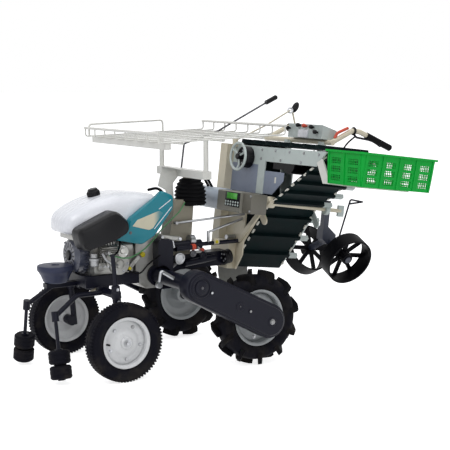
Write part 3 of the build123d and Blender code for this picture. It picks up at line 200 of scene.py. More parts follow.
class ShaderKit(NodeKit):
    """Node tree of one material, with a Principled surface."""

    def __init__(self, name: str) -> None:
        """Make an empty material with its output and surface."""
        self.material = bpy.data.materials.new(name)
        self.material.use_nodes = True
        super().__init__(self.material.node_tree)
        shader = self.node("ShaderNodeBsdfPrincipled")
        self.surface = shader.socket.node
        self.node("ShaderNodeOutputMaterial", None, {"Surface": shader})

    def place(self) -> Signal:
        """Object coordinates."""
        return self.node("ShaderNodeTexCoord", output="Object")

    def noise(self, scale: float, detail: float = 3.0, stretch: Point = (1.0, 1.0, 1.0)) -> Signal:
        """Noise from 0 to 1 over the surface.

        Args:
            scale: Grains for each metre.
            detail: Octaves of finer noise.
            stretch: Factors on the three coordinates.

        Returns:
            The noise value.
        """
        place = self.node("ShaderNodeMapping", None, {"Vector": self.place(), "Scale": tuple(stretch)})
        return self.node("ShaderNodeTexNoise", None,
                         {"Vector": place, "Scale": scale, "Detail": detail}, "Fac")

    def mix(self, first: Value, second: Value, factor: Value) -> Signal:
        """Colour between two colours, by a factor."""
        return self.node("ShaderNodeMix", {"data_type": "RGBA"}, {0: factor, 6: first, 7: second}, 2)

    def bump(self, height: Signal, strength: float, distance: float) -> Signal:
        """Normal from a height signal."""
        return self.node("ShaderNodeBump", None,
                         {"Strength": strength, "Distance": distance, "Height": height})

    def dress(self, **sockets: Value) -> bpy.types.Material:
        """Set the surface's sockets, named with underscores for spaces, and return the material."""
        for key, value in sockets.items():
            self.feed(self.surface.inputs[key.replace("_", " ")], value)
        return self.material


@dataclass(frozen=True)
class Finish:
    """A surface finish, and the material that it makes once."""

    name: str
    colour: Colour
    roughness: float

    def material(self) -> bpy.types.Material:
        """Material of this finish, made on first use."""
        name = f"{self.name}_finish"
        found = bpy.data.materials.get(name)
        return found if found is not None else self.build(ShaderKit(name))

    def build(self, kit: ShaderKit) -> bpy.types.Material:
        """Fill the material's tree."""
        raise NotImplementedError

    def shade(self, factor: float) -> Colour:
        """The colour made darker or lighter by a factor."""
        return tuple(min(channel * factor, 1.0) for channel in self.colour)


@dataclass(frozen=True)
class Paint(Finish):
    """Sprayed paint on metal: faint orange peel, uneven gloss and a little grime."""

    coat: float = 0.3
    grime: float = 0.25
    gloss: float = 0.5
    # grains for each metre, and the peel's depth
    patch_scale: float = 7.0
    film_scale: float = 38.0
    peel_scale: float = 420.0
    peel_depth: float = 0.0006

    def build(self, kit: ShaderKit) -> bpy.types.Material:
        """Colour patches, fine peel and a film of grime."""
        patches = kit.noise(self.patch_scale, 4.0)
        film = kit.noise(self.film_scale, 5.0).step(0.52, 0.78)
        colour = kit.mix(self.shade(0.93), self.shade(1.05), patches)
        colour = kit.mix(colour, self.shade(0.62), film * self.grime)
        rough = patches * 0.10 + (self.roughness - 0.05) + film * 0.12
        peel = kit.noise(self.peel_scale, 2.0)
        return kit.dress(Base_Color=colour, Roughness=rough, Coat_Weight=self.coat, Coat_Roughness=0.12,
                         Specular_IOR_Level=self.gloss, Normal=kit.bump(peel, 0.10, self.peel_depth))


@dataclass(frozen=True)
class Moulded(Finish):
    """Moulded plastic: even colour with a fine grain and soft sheen marks."""

    grain: float = 0.12
    coat: float = 0.0
    gloss: float = 0.5
    # grains for each metre, and the grain's depth
    scuff_scale: float = 22.0
    tone_scale: float = 5.0
    grain_scale: float = 900.0
    grain_depth: float = 0.0005

    def build(self, kit: ShaderKit) -> bpy.types.Material:
        """Grain bump, and scuffs that change the gloss."""
        scuffs = kit.noise(self.scuff_scale, 6.0, (1.0, 3.0, 1.0)).step(0.45, 0.75)
        tone = kit.noise(self.tone_scale, 2.0)
        colour = kit.mix(self.shade(0.95), self.shade(1.04), tone)
        grain = kit.noise(self.grain_scale, 1.0)
        return kit.dress(Base_Color=colour, Roughness=scuffs * 0.14 + self.roughness, Coat_Weight=self.coat,
                         Coat_Roughness=0.08, Specular_IOR_Level=self.gloss,
                         Normal=kit.bump(grain, self.grain, self.grain_depth))


@dataclass(frozen=True)
class Faded(Moulded):
    """Moulded inset that fades into another colour towards the rear."""

    far: Colour = srgb(0, 124, 140)
    fade: Pair = (0.425, 0.470)

    def build(self, kit: ShaderKit) -> bpy.types.Material:
        """Fade along the machine, with faint scuffs."""
        along = kit.node("ShaderNodeSeparateXYZ", None, {0: kit.place()}, "X") - ORIGIN.x
        scuffs = kit.noise(self.scuff_scale, 6.0).step(0.45, 0.75)
        colour = kit.mix(self.far, self.colour, along.step(*self.fade))
        colour = kit.mix(colour, self.shade(0.8), scuffs * 0.15)
        return kit.dress(Base_Color=colour, Roughness=scuffs * 0.14 + self.roughness, Coat_Weight=self.coat)


@dataclass(frozen=True)
class Rubber(Finish):
    """Black rubber with a dusty bloom."""

    dust: Colour = srgb(96, 90, 80)
    dusty: float = 0.25
    # grains for each metre, and the skin's depth
    bloom_scale: float = 14.0
    skin_scale: float = 260.0
    skin_depth: float = 0.0008

    def build(self, kit: ShaderKit) -> bpy.types.Material:
        """Bloom in patches, and a fine skin."""
        bloom = kit.noise(self.bloom_scale, 6.0).step(0.40, 0.80)
        fine = kit.noise(self.skin_scale, 4.0)
        colour = kit.mix(self.colour, self.dust, bloom * self.dusty * (fine * 0.8 + 0.4))
        rough = bloom * 0.12 + self.roughness
        return kit.dress(Base_Color=colour, Roughness=rough, Specular_IOR_Level=0.07,
                         Normal=kit.bump(fine, 0.25, self.skin_depth))


@dataclass(frozen=True)
class BareMetal(Finish):
    """Bare metal: cast skin or drawn steel, with dull patches."""

    texture: float = 90.0
    relief: float = 0.25
    stain: Colour = srgb(86, 82, 74)
    dull_scale: float = 11.0
    relief_depth: float = 0.0015

    def build(self, kit: ShaderKit) -> bpy.types.Material:
        """Stains, grain and uneven gloss on a metallic base."""
        dull = kit.noise(self.dull_scale, 5.0).step(0.42, 0.72)
        grain = kit.noise(self.texture, 4.0)
        colour = kit.mix(self.colour, self.stain, dull * 0.55 + grain * 0.12)
        return kit.dress(Base_Color=colour, Metallic=1.0 - dull * 0.45, Roughness=dull * 0.2 + self.roughness,
                         Normal=kit.bump(grain, self.relief, self.relief_depth))


HOOD_WHITE = Moulded("hood_white", srgb(232, 234, 240), 0.26, 0.04, 0.5)
HOOD_TEAL = Moulded("hood_teal", srgb(0, 124, 140), 0.30, 0.04, 0.15, 0.35)
HOOD_CREAM = Faded("hood_cream", srgb(206, 200, 176), 0.36, 0.06, 0.2)
BLACK_PLASTIC = Moulded("black_plastic", srgb(7, 7, 12), 0.32, 0.25, 0.0, 0.2)
RED_PLASTIC = Moulded("red_plastic", srgb(206, 72, 44), 0.36, 0.10)
CRATE_GREEN = Moulded("crate_green", srgb(4, 166, 58), 0.45, 0.08, 0.0, 0.2)
SCREEN_GREEN = Moulded("screen_green", srgb(86, 178, 72), 0.22, 0.02, 0.4)
DASH_WHITE = Moulded("dash_white", srgb(222, 220, 210), 0.6, 0.2)
BLACK_PAINT = Paint("black_paint", srgb(15, 16, 30), 0.38, 0.04, 0.25, 0.16)
WHEEL_WHITE = Paint("wheel_white", srgb(216, 217, 218), 0.38)
# Rear discs: the wheels' white paint made darker, as painted shade
SHADED_DISC_GREY = Paint("disc_shaded_grey", srgb(172, 176, 178), 0.42, 0.2, 0.35)
WIRE_WHITE = Paint("wire_white", srgb(224, 223, 217), 0.38, 0.2, 0.12)
BEIGE_PAINT = Paint("beige_paint", srgb(214, 205, 182), 0.44, 0.15)
OLIVE_PAINT = Paint("olive_paint", srgb(138, 132, 116), 0.5, 0.1, 0.4)
PLATE_GREY = Paint("plate_grey", srgb(190, 200, 197), 0.42, 0.15)
PANEL_BLUE = Paint("panel_blue_grey", srgb(128, 137, 156), 0.45, 0.15)
MOTOR_GREY = Paint("motor_grey", srgb(178, 189, 202), 0.44, 0.15)
GEARBOX_GREY = Paint("gearbox_grey", srgb(98, 95, 86), 0.5, 0.1)
DISPLAY_GREY = Paint("display_grey", srgb(132, 130, 121), 0.46, 0.1)
SHOE_GREY = Paint("shoe_grey", srgb(140, 140, 136), 0.5, 0.1, 0.4)
PIN_YELLOW = Moulded("pin_yellow", srgb(206, 190, 24), 0.4, 0.05)
POST_BLUE = Paint("post_blue_grey", srgb(38, 44, 62), 0.42, 0.1)
RECOIL_BLUE = Paint("recoil_blue", srgb(62, 66, 82), 0.32, 0.3)
PRESS_BLACK = Paint("press_black", srgb(8, 8, 13), 0.45, 0.0, 0.2, 0.06)
TYRE_RUBBER = Rubber("tyre_rubber", srgb(14, 14, 22), 0.6)
LUG_RUBBER = Rubber("lug_rubber", srgb(11, 11, 15), 0.66, srgb(80, 74, 66), 0.35)
BELT_RUBBER = Rubber("belt_rubber", srgb(4, 18, 20), 0.55, srgb(20, 42, 42), 0.35)
CABLE_GREEN = Moulded("cable_green", srgb(70, 128, 78), 0.42, 0.1)
WEIGHT_GREY = Paint("weight_grey", srgb(44, 49, 72), 0.46, 0.05, 0.25, 0.25)
GRIP_RUBBER = Rubber("grip_rubber", srgb(12, 12, 14), 0.6, srgb(40, 40, 42), 0.15)
CAST_ALLOY = BareMetal("cast_alloy", srgb(160, 160, 157), 0.40)
BARE_STEEL = BareMetal("bare_steel", srgb(176, 178, 182), 0.3, 60.0, 0.08, srgb(110, 108, 102))
DARK_STEEL = BareMetal("dark_steel", srgb(92, 92, 96), 0.36, 60.0, 0.08, srgb(58, 56, 54))

NODE_FINISHES: tuple[tuple[Finish, tuple[str, ...]], ...] = (
    (BLACK_PAINT, ("main_frame", "guide_arms", "belt_cover", "drive_axle",
                   "wheel_arms", "rear_beam", "lift_cylinder", "press_beam", "adjuster_rod")),
    (GRIP_RUBBER, ("grips",)),
    (RECOIL_BLUE, ("recoil_cover",)),
    (CAST_ALLOY, ("engine_block", "transmission_case")),
    (BLACK_PLASTIC, ("conveyor_motor",)),
    (OLIVE_PAINT, ("handle_column",)),
    (WIRE_WHITE, ("rack_posts", "rack_stand", "crate_shelf")),
    (BEIGE_PAINT, ("mast", "handle_tubes", "handle_cross_tube")),
    (PLATE_GREY, ("conveyor_front_plate", "conveyor_rear_frame", "control_panel")),
    (PANEL_BLUE, ("instrument_panel",)),
    (SHOE_GREY, ("planting_shoe",)),
    (MOTOR_GREY, ("planting_motor",)),
    (DISPLAY_GREY, ("display_box",)),
    (BARE_STEEL, ("conveyor_rollers", "control_rods")),
    (DARK_STEEL, ("gear_lever",)),
    (CRATE_GREEN, ("crate",)),
    (PRESS_BLACK, ("press_wheel_left", "press_wheel_right")),
    (POST_BLUE, ("press_post",)),
)


def spot(x: float, y: float, z: float) -> Vector:
    """Place in the frame of a point given from the rear axle's ground point."""
    return ORIGIN + Vector((x, y, z))


def unit_spot(u: float, v: float, w: float) -> Vector:
    """Place in the frame of a point given in the planting unit."""
    return UNIT @ Vector((u, v, w))


def spot_at(x: float, y: float, z: float) -> Matrix:
    """Frame at a point given from the rear axle's ground point."""
    return Matrix.Translation(spot(x, y, z))


def lifted(place: Matrix, height: float) -> Matrix:
    """A place moved along its own Z axis."""
    return place @ Matrix.Translation((0.0, 0.0, height))


def facing(centre: Vector, direction: Point) -> Matrix:
    """Frame at a place, with its Z axis along a direction."""
    turn = Vector((0.0, 0.0, 1.0)).rotation_difference(Vector(direction))
    return Matrix.Translation(centre) @ turn.to_matrix().to_4x4()


def rounded(points: Sequence[Point], bend: float, steps: int = 6) -> list[Vector]:
    """Route with its corners rounded.

    Args:
        points: The corners and the two ends.
        bend: Distance from a corner at which its curve starts.
        steps: Points in each curve.

    Returns:
        The points of the rounded route.
    """
    spots = [Vector(point) for point in points]
    route = [spots[0]]
    for before, corner, after in zip(spots, spots[1:], spots[2:]):
        back, onward = before - corner, after - corner
        reach = min(bend, back.length * 0.48, onward.length * 0.48)
        start, end = corner + back.normalized() * reach, corner + onward.normalized() * reach
        for step in range(steps + 1):
            share = step / steps
            route.append(start * (1 - share) ** 2 + corner * 2 * share * (1 - share) + end * share ** 2)
    return route + [spots[-1]]


def ring_route(points: Sequence[Pair], bend: float, steps: int = 5) -> list[Vector]:
    """Closed flat outline with all its corners rounded."""
    corners = [(x, z, 0.0) for x, z in points]
    return rounded([corners[-1], *corners, corners[0]], bend, steps)[1:-1]


def hull(first: Point, second: Point, radii: Pair, steps: int = 20) -> list[Pair]:
    """Outline of two circles joined by their outer tangents."""
    run = Vector(second) - Vector(first)
    heading = math.degrees(math.atan2(run.y, run.x))
    spread = math.degrees(math.acos((radii[0] - radii[1]) / run.length))
    return [*arc(radii[0], first, heading + spread, heading + 360 - spread, steps),
            *arc(radii[1], second, heading - spread, heading + spread, steps)]


def arc(radius: float, middle: Point, start: float, end: float, steps: int) -> list[Pair]:
    """Points of an arc in a profile, from one angle to another in degrees."""
    turns = [math.radians(start + (end - start) * step / steps) for step in range(steps + 1)]
    return [(middle[0] + radius * math.cos(turn), middle[1] + radius * math.sin(turn)) for turn in turns]


def curve(t: float, a: float, b: float, c: float, d: float) -> float:
    """Value a share t of the way from b to c, on a smooth curve through four even values."""
    return b + 0.5 * t * (c - a + t * (2 * a - 5 * b + 4 * c - d + t * (3 * (b - c) + d - a)))


@dataclass(frozen=True)
class Dome:
    """Outline of a turned cap, pin or button with a straight side and a sloped crown."""

    radius: float
    low: float
    shoulder: float
    crown: float
    edge: float
    top: float

    def outline(self) -> list[Pair]:
        """Points of radius and height, from the middle of the foot to the middle of the top."""
        return [(0.0, self.low), (self.radius, self.low), (self.radius, self.shoulder),
                (self.crown, self.edge), (0.0, self.top)]


class Form:
    """A mesh put together from closed pieces, each with its own finish."""

    def __init__(self, name: str) -> None:
        """Start an empty form."""
        self.name = name
        self.mesh = bmesh.new()
        self.finishes: list[Finish] = []

    def join(self, piece: bmesh.types.BMesh, finish: Finish) -> None:
        """Add a piece in a finish, with its faces turned outward."""
        bmesh.ops.recalc_face_normals(piece, faces=piece.faces)
        held = bpy.data.meshes.new("piece")
        piece.to_mesh(held)
        piece.free()
        self.absorb(held, Matrix.Identity(4), finish)

    def absorb(self, held: bpy.types.Mesh, place: Matrix, finish: Finish) -> None:
        """Add a plain mesh at a place in a finish, and drop the mesh."""
        if finish not in self.finishes:
            self.finishes.append(finish)
        held.transform(place)
        first = len(self.mesh.faces)
        self.mesh.from_mesh(held)
        self.mesh.faces.ensure_lookup_table()
        for face in self.mesh.faces[first:]:
            face.material_index = self.finishes.index(finish)
            face.smooth = True
        bpy.data.meshes.remove(held)

    def skin(self, rings: Sequence[Sequence[Vector]], finish: Finish, closed: bool = False) -> None:
        """Cover a row of rings of points, closing the ends or joining the last ring to the first.

        Args:
            rings: Rings with equal numbers of points; a ring of one point is a pole.
            finish: The finish of the faces.
            closed: Whether the last ring joins the first.
        """
        piece = bmesh.new()
        loops = [[piece.verts.new(point) for point in ring] for ring in rings]
        pairs = list(zip(loops, loops[1:])) + ([(loops[-1], loops[0])] if closed else [])
        for first, second in pairs:
            count = max(len(first), len(second))
            for index in range(count):
                after = (index + 1) % count
                corners = [first[index % len(first)], first[after % len(first)],
                           second[after % len(second)], second[index % len(second)]]
                corners = list(dict.fromkeys(corners))
                if len(corners) > 2:
                    piece.faces.new(corners)
        if not closed:
            for ring in (loops[0], loops[-1]):
                if len(ring) > 2:
                    piece.faces.new(ring)
        self.join(piece, finish)

    def lathe(self, profile: Sequence[Pair], place: Matrix, finish: Finish,
              steps: int = 64) -> None:
        """Turn a closed outline of (radius, height) points about the Z axis of a place."""
        rings = []
        for radius, height in profile:
            turns = [2 * math.pi * step / steps for step in range(steps if radius > 0 else 1)]
            rings.append([place @ Vector((radius * math.cos(turn), radius * math.sin(turn), height))
                          for turn in turns])
        poles = len(rings[0]) == 1 and len(rings[-1]) == 1
        self.skin(rings, finish, closed=not poles)

    def tube(self, route: Sequence[Vector], radius: float, finish: Finish, sides: int = 12) -> None:
        """Round bar along a route of points."""
        runs = [(after - before).normalized() for before, after in zip(route, route[1:])]
        headings = [runs[0], *[(a + b).normalized() for a, b in zip(runs, runs[1:])], runs[-1]]
        normal = headings[0].orthogonal().normalized()
        rings = []
        for index, (point, heading) in enumerate(zip(route, headings)):
            if index:
                normal = headings[index - 1].rotation_difference(heading) @ normal
            across = heading.cross(normal)
            turns = [2 * math.pi * side / sides for side in range(sides)]
            rings.append([point + (normal * math.cos(t) + across * math.sin(t)) * radius for t in turns])
        self.skin(rings, finish)

    def block(self, size: Point, place: Matrix, finish: Finish, bevel: float = 0.002) -> None:
        """Box with rounded edges, centred on a place."""
        piece = bmesh.new()
        bmesh.ops.create_cube(piece, size=1.0, matrix=place @ Matrix.Diagonal((*size, 1.0)))
        bmesh.ops.bevel(piece, geom=piece.edges[:], offset=bevel, segments=2, affect="EDGES", profile=0.5)
        self.join(piece, finish)

    def plate(self, outline: Sequence[Vector], depth: Point, finish: Finish, bevel: float = 0.001) -> None:
        """Flat plate from an outline of places, thickened along a vector."""
        piece = bmesh.new()
        face = piece.faces.new([piece.verts.new(point) for point in outline])
        raised = bmesh.ops.extrude_face_region(piece, geom=[face])["geom"]
        bmesh.ops.translate(piece, vec=Vector(depth),
                            verts=[item for item in raised if isinstance(item, bmesh.types.BMVert)])
        bmesh.ops.bevel(piece, geom=piece.edges[:], offset=bevel, segments=1, affect="EDGES", profile=0.5)
        self.join(piece, finish)

    def make(self, body: str = CHASSIS, nodes: Sequence[str] = (), crease: float = 0.6) -> bpy.types.Object:
        """Turn the form into an object of the scene.

        Args:
            body: The body that the object rides on.
            nodes: CAD nodes that the object stands for.
            crease: Edge angle in radians above which shading breaks.

        Returns:
            The finished object.
        """
        for edge in self.mesh.edges:
            edge.smooth = len(edge.link_faces) == 2 and edge.calc_face_angle(0.0) < crease
        data = bpy.data.meshes.new(self.name)
        self.mesh.to_mesh(data)
        self.mesh.free()
        for finish in self.finishes:
            data.materials.append(finish.material())
        made = bpy.data.objects.new(self.name, data)
        link(made)
        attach(made, body)
        if nodes:
            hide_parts(*nodes)
        LOG.info("%s: %d faces on %s", self.name, len(data.polygons), body)
        return made

    def held(self) -> bpy.types.Mesh:
        """The form as a plain mesh without an object, for use in a pattern."""
        data = bpy.data.meshes.new(self.name)
        self.mesh.to_mesh(data)
        self.mesh.free()
        return data


@dataclass(frozen=True)
class Cord:
    """A cable, lead or pipe on a route with rounded bends."""

    route: Route
    radius: float
    bend: float
    finish: Finish
    sides: int = 10

    def lay(self, form: Form, place: Callable[[float, float, float], Vector]) -> None:
        """Add the cord to a form.

        Args:
            form: The form that takes the cord.
            place: The function that puts a point of the route in the frame.
        """
        points = [place(*point) for point in self.route]
        form.tube(rounded(points, self.bend), self.radius, self.finish, self.sides)


class Layout(Enum):
    """Arrangement of a pattern's copies."""

    RING = "ring"
    ROW = "row"


@dataclass
class Pattern:
    """Copies of a small piece on a ring about Z or along rows, made by Geometry Nodes."""

    layout: Layout
    count: int
    radius: float = 0.0
    pitch: Triple = (0.0, 0.0, 0.0)
    rows: int = 1
    row_pitch: Triple = (0.0, 0.0, 0.0)
    wobble: float = 0.0
    seed: int = 7

    def inputs(self) -> tuple[tuple[str, str, Any], ...]:
        """Name, socket type and value of each input of the tree."""
        return (("Count", "NodeSocketInt", self.count), ("Radius", "NodeSocketFloat", self.radius),
                ("Pitch", "NodeSocketVector", self.pitch), ("Rows", "NodeSocketInt", self.rows),
                ("Row Pitch", "NodeSocketVector", self.row_pitch), ("Wobble", "NodeSocketFloat", self.wobble),
                ("Seed", "NodeSocketInt", self.seed))

    def tree(self) -> tuple[bpy.types.NodeTree, dict[str, str]]:
        """Node tree of the pattern, with the identifiers of its inputs by name."""
        group = bpy.data.node_groups.new(f"pattern_{self.layout.value}", "GeometryNodeTree")
        shape = "NodeSocketGeometry"
        group.interface.new_socket("Piece", in_out="INPUT", socket_type=shape)
        sockets = {name: group.interface.new_socket(name, in_out="INPUT", socket_type=kind).identifier
                   for name, kind, _ in self.inputs()}
        sockets["Finish"] = group.interface.new_socket("Finish", in_out="INPUT",
                                                       socket_type="NodeSocketMaterial").identifier
        group.interface.new_socket("Copies", in_out="OUTPUT", socket_type=shape)
        kit = NodeKit(group)
        given = kit.node("NodeGroupInput").socket.node
        value = {socket.name: Signal(kit, socket) for socket in given.outputs}
        if self.layout is Layout.RING:
            points = kit.node("GeometryNodeMeshCircle", None,
                              {"Vertices": value["Count"], "Radius": value["Radius"]})
            turn = kit.node("GeometryNodeInputIndex") * (2 * math.pi) / value["Count"]
        else:
            points = kit.node("GeometryNodeMeshLine", None,
                              {"Count": value["Count"], "Offset": value["Pitch"]})
            turn = kit.node("GeometryNodeInputIndex") * 0.0
        shake = kit.node("FunctionNodeRandomValue", {"data_type": "FLOAT"},
                         {2: value["Wobble"] * -1.0, 3: value["Wobble"], "Seed": value["Seed"]}, 1)
        rotation = kit.node("ShaderNodeCombineXYZ", None, {"Z": turn + shake})
        copies = kit.node("GeometryNodeInstanceOnPoints", None,
                          {"Points": points, "Instance": value["Piece"], "Rotation": rotation})
        rows = kit.node("GeometryNodeMeshLine", None, {"Count": value["Rows"], "Offset": value["Row Pitch"]})
        copies = kit.node("GeometryNodeInstanceOnPoints", None, {"Points": rows, "Instance": copies})
        copies = kit.node("GeometryNodeRealizeInstances", None, {"Geometry": copies})
        copies = kit.node("GeometryNodeSetMaterial", None, {"Geometry": copies, "Material": value["Finish"]})
        kit.node("NodeGroupOutput", None, {"Copies": copies})
        return group, sockets

    def spread(self, piece: Form, finish: Finish) -> bpy.types.Mesh:
        """Plain mesh of all the copies of a piece.

        Args:
            piece: The piece, about the pattern's origin.
            finish: The finish of the copies.

        Returns:
            The mesh, in the pattern's own frame.
        """
        group, sockets = self.tree()
        holder = bpy.data.objects.new("pattern", piece.held())
        link(holder)
        modifier = holder.modifiers.new("pattern", "NODES")
        modifier.node_group = group
        for name, _, value in self.inputs():
            modifier[sockets[name]] = value
        modifier[sockets["Finish"]] = finish.material()
        graph = bpy.context.evaluated_depsgraph_get()
        made = bpy.data.meshes.new_from_object(holder.evaluated_get(graph))
        made.materials.clear()
        source = holder.data
        bpy.data.objects.remove(holder)
        bpy.data.meshes.remove(source)
        return made

    def fill(self, form: Form, piece: Form, place: Matrix, finish: Finish) -> None:
        """Add all the copies of a piece to a form, with the pattern's frame at a place."""
        form.absorb(self.spread(piece, finish), place, finish)


def bolt(radius: float, height: float) -> Form:
    """Hexagon head on a washer, standing on the XY plane."""
    form = Form("bolt")
    flat = Matrix.Identity(4)
    form.lathe([(0.0, -height * 0.3), (radius * 1.35, -height * 0.3), (radius * 1.35, height * 0.25),
                (0.0, height * 0.25)], flat, BARE_STEEL, 16)
    form.lathe([(0.0, 0.0), (radius, 0.0), (radius, height * 0.85), (radius * 0.8, height), (0.0, height)],
               flat, BARE_STEEL, 6)
    return form


def bolt_ring(form: Form, place: Matrix, count: int, radius: float, size: float,
              finish: Finish = BARE_STEEL) -> None:
    """Ring of bolts about the Z axis of a place."""
    Pattern(Layout.RING, count, radius).fill(form, bolt(size, size * 1.1), place, finish)


def bolt_row(form: Form, start: Vector, end: Vector, face: Point, count: int, size: float,
             finish: Finish = BARE_STEEL) -> None:
    """Row of bolts between two places on a face with a given normal."""
    place = facing(start, face)
    step = place.inverted() @ end / max(count - 1, 1)
    Pattern(Layout.ROW, count, pitch=tuple(step)).fill(form, bolt(size, size * 0.9), place, finish)


def body_of(node: str) -> str:
    """Body of the frame that carries a CAD node."""
    bodies = frame["record"]["behaviour"]["bodies"]
    return next(body for body, nodes in bodies.items() if node in nodes)


def mirrored(half: Sequence[Pair]) -> list[Pair]:
    """Closed outline from a half that ends on the middle plane."""
    return list(half) + [(radius, -height) for radius, height in reversed(half[:-1])]


def unit_face(u: float, v: float, w: float, direction: Point = AHEAD) -> Matrix:
    """Frame at a point of the planting unit, with its Z axis along a direction of the unit."""
    return UNIT @ facing(Vector((u, v, w)), direction)


def unit_at(u: float, v: float, w: float) -> Matrix:
    """Frame at a point of the planting unit, lined up with the unit."""
    return UNIT @ Matrix.Translation((u, v, w))


@dataclass(frozen=True)
class WheelSize:
    """Sizes of a tyre and its steel disc, with the tyre's outline from bead to crown."""

    rim: float
    half: float
    hub: float
    hub_length: float
    bore: float
    nut_ring: float
    nuts: int
    nut: float
    tyre: Outline


@dataclass
class GroundWheels:
    """Front wheels with blocked treads and rear wheels with slanted lugs."""

    front: WheelSize = WheelSize(0.115, 0.0284, 0.030, 0.070, 0.01105, 0.082, 5, 0.0075, (
        (0.1152, 0.0262), (0.1252, 0.0264), (0.138, 0.0365), (0.150, 0.0425), (0.162, 0.043), (0.172, 0.0405),
        (0.180, 0.036), (0.186, 0.028), (0.1885, 0.018), (0.189, 0.0)))
    rear: WheelSize = WheelSize(0.134, 0.037, 0.042, 0.096, 0.01505, 0.100, 6, 0.008, (
        (0.1342, 0.0355), (0.1435, 0.0357), (0.158, 0.047), (0.170, 0.0545), (0.183, 0.056), (0.196, 0.0535),
        (0.206, 0.045), (0.212, 0.030), (0.214, 0.0)))
    wall: float = 0.007
    lip: float = 0.009
    # in from the lip's radius, and out from the rim's half width
    lip_roll: Outline = ((0.004, -0.0002), (0.001, 0.001), (0.0, 0.003), (0.002, 0.0048), (0.006, 0.0044))
    disc_thickness: float = 0.006
    # in from the rim's well, and share of its half width
    stem: Outline = ((0.012, 0.1), (0.020, 0.9))
    stem_radius: float = 0.0045
    # share of the way from hub to rim, and height of the disc's face
    dish: Outline = (
        (-0.05, 0.024), (0.12, 0.0235), (0.28, 0.0215), (0.40, 0.0170), (0.50, 0.0110), (0.58, 0.0085),
        (0.84, 0.0075), (0.93, 0.0050), (1.03, -0.004))
    nut_seat: float = 0.0078
    nut_turn: float = 23.0
    block_count: int = 72
    block_size: Triple = (0.010, 0.0095, 0.024)
    block_place: Pair = (0.1830, 0.0265)
    rib_heights: Pair = (-0.0105, 0.0105)
    # radius, and height from the rib's middle
    rib: Outline = ((0.1860, -0.005), (0.1896, -0.004), (0.1896, 0.004), (0.1860, 0.005))
    lug_count: int = 11
    lug_crest: float = 0.2392
    # station across the tyre, along it, crest radius, root radius, half width
    lugs: tuple[tuple[float, float, float, float, float], ...] = (
        (-0.004, -0.004, 0.2392, 0.205, 0.0135), (0.020, 0.014, 0.2392, 0.204, 0.0145),
        (0.041, 0.031, 0.2380, 0.198, 0.0150), (0.053, 0.041, 0.2320, 0.188, 0.0150),
        (0.0580, 0.046, 0.2170, 0.178, 0.0140), (0.0560, 0.048, 0.2010, 0.176, 0.0100))

    def build(self) -> None:
        """Make the four wheels."""
        for name, side in SIDES:
            flip = Matrix.Rotation(0.0 if side > 0 else math.pi, 4, "Z")
            turn = flip @ Matrix.Rotation(-math.pi / 2, 4, "X")
            place = Matrix.Translation(joint_place(f"front_wheel_{name}_spin")) @ turn
            self.front_tyre(f"front_tyre_{name}", place)
            self.disc(f"front_disc_{name}", self.front, place, WHEEL_WHITE)
            place = Matrix.Translation(joint_place(f"rear_wheel_{name}_spin")) @ turn
            self.rear_tyre(f"rear_tyre_{name}", place)
            # the rear discs take the darker grey, which is painted shade
            self.disc(f"rear_disc_{name}", self.rear, place, SHADED_DISC_GREY)

    def front_tyre(self, node: str, place: Matrix) -> None:
        """Ribbed tyre with a ring of shoulder blocks on each side."""
        form = Form(f"{node}_looks")
        form.lathe(mirrored(self.front.tyre), place, TYRE_RUBBER, 96)
        for half_turn, side in ((0.0, 1.0), (0.5, -1.0)):
            piece = Form("block")
            radius, height = self.block_place
            piece.block(self.block_size, Matrix.Translation((radius, 0.0, side * height)), TYRE_RUBBER, 0.002)
            shift = Matrix.Rotation(half_turn * 2 * math.pi / self.block_count, 4, "Z")
            Pattern(Layout.RING, self.block_count).fill(form, piece, place @ shift, TYRE_RUBBER)
        for height in self.rib_heights:
            crown = [(radius, height + rise) for radius, rise in self.rib]
            form.lathe(crown, place, TYRE_RUBBER, 96)
        form.make(body_of(node), (node,))

    def rear_tyre(self, node: str, place: Matrix) -> None:
        """Carcass with two rows of slanted lugs, half a pitch apart."""
        form = Form(f"{node}_looks")
        form.lathe(mirrored(self.rear.tyre), place, TYRE_RUBBER, 96)
        for half_turn, side in ((0.0, 1.0), (0.5, -1.0)):
            shift = Matrix.Rotation(half_turn * 2 * math.pi / self.lug_count, 4, "Z")
            Pattern(Layout.RING, self.lug_count).fill(form, self.lug(side), place @ shift, LUG_RUBBER)
        form.make(body_of(node), (node,))

    def lug(self, side: float) -> Form:
        """One lug on the positive or negative side of the tyre's middle."""
        form = Form("lug")
        rings = []
        for across, along, crest, root, half in self.lugs:
            turn = -along / self.lug_crest
            ring = []
            for radius, shift in ((root, -half), (crest, -half * 0.75), (crest, half * 0.75), (root, half)):
                angle = turn + shift / radius
                ring.append(Vector((radius * math.cos(angle), radius * math.sin(angle), side * across)))
            rings.append(ring)
        form.skin(rings, LUG_RUBBER)
        return form

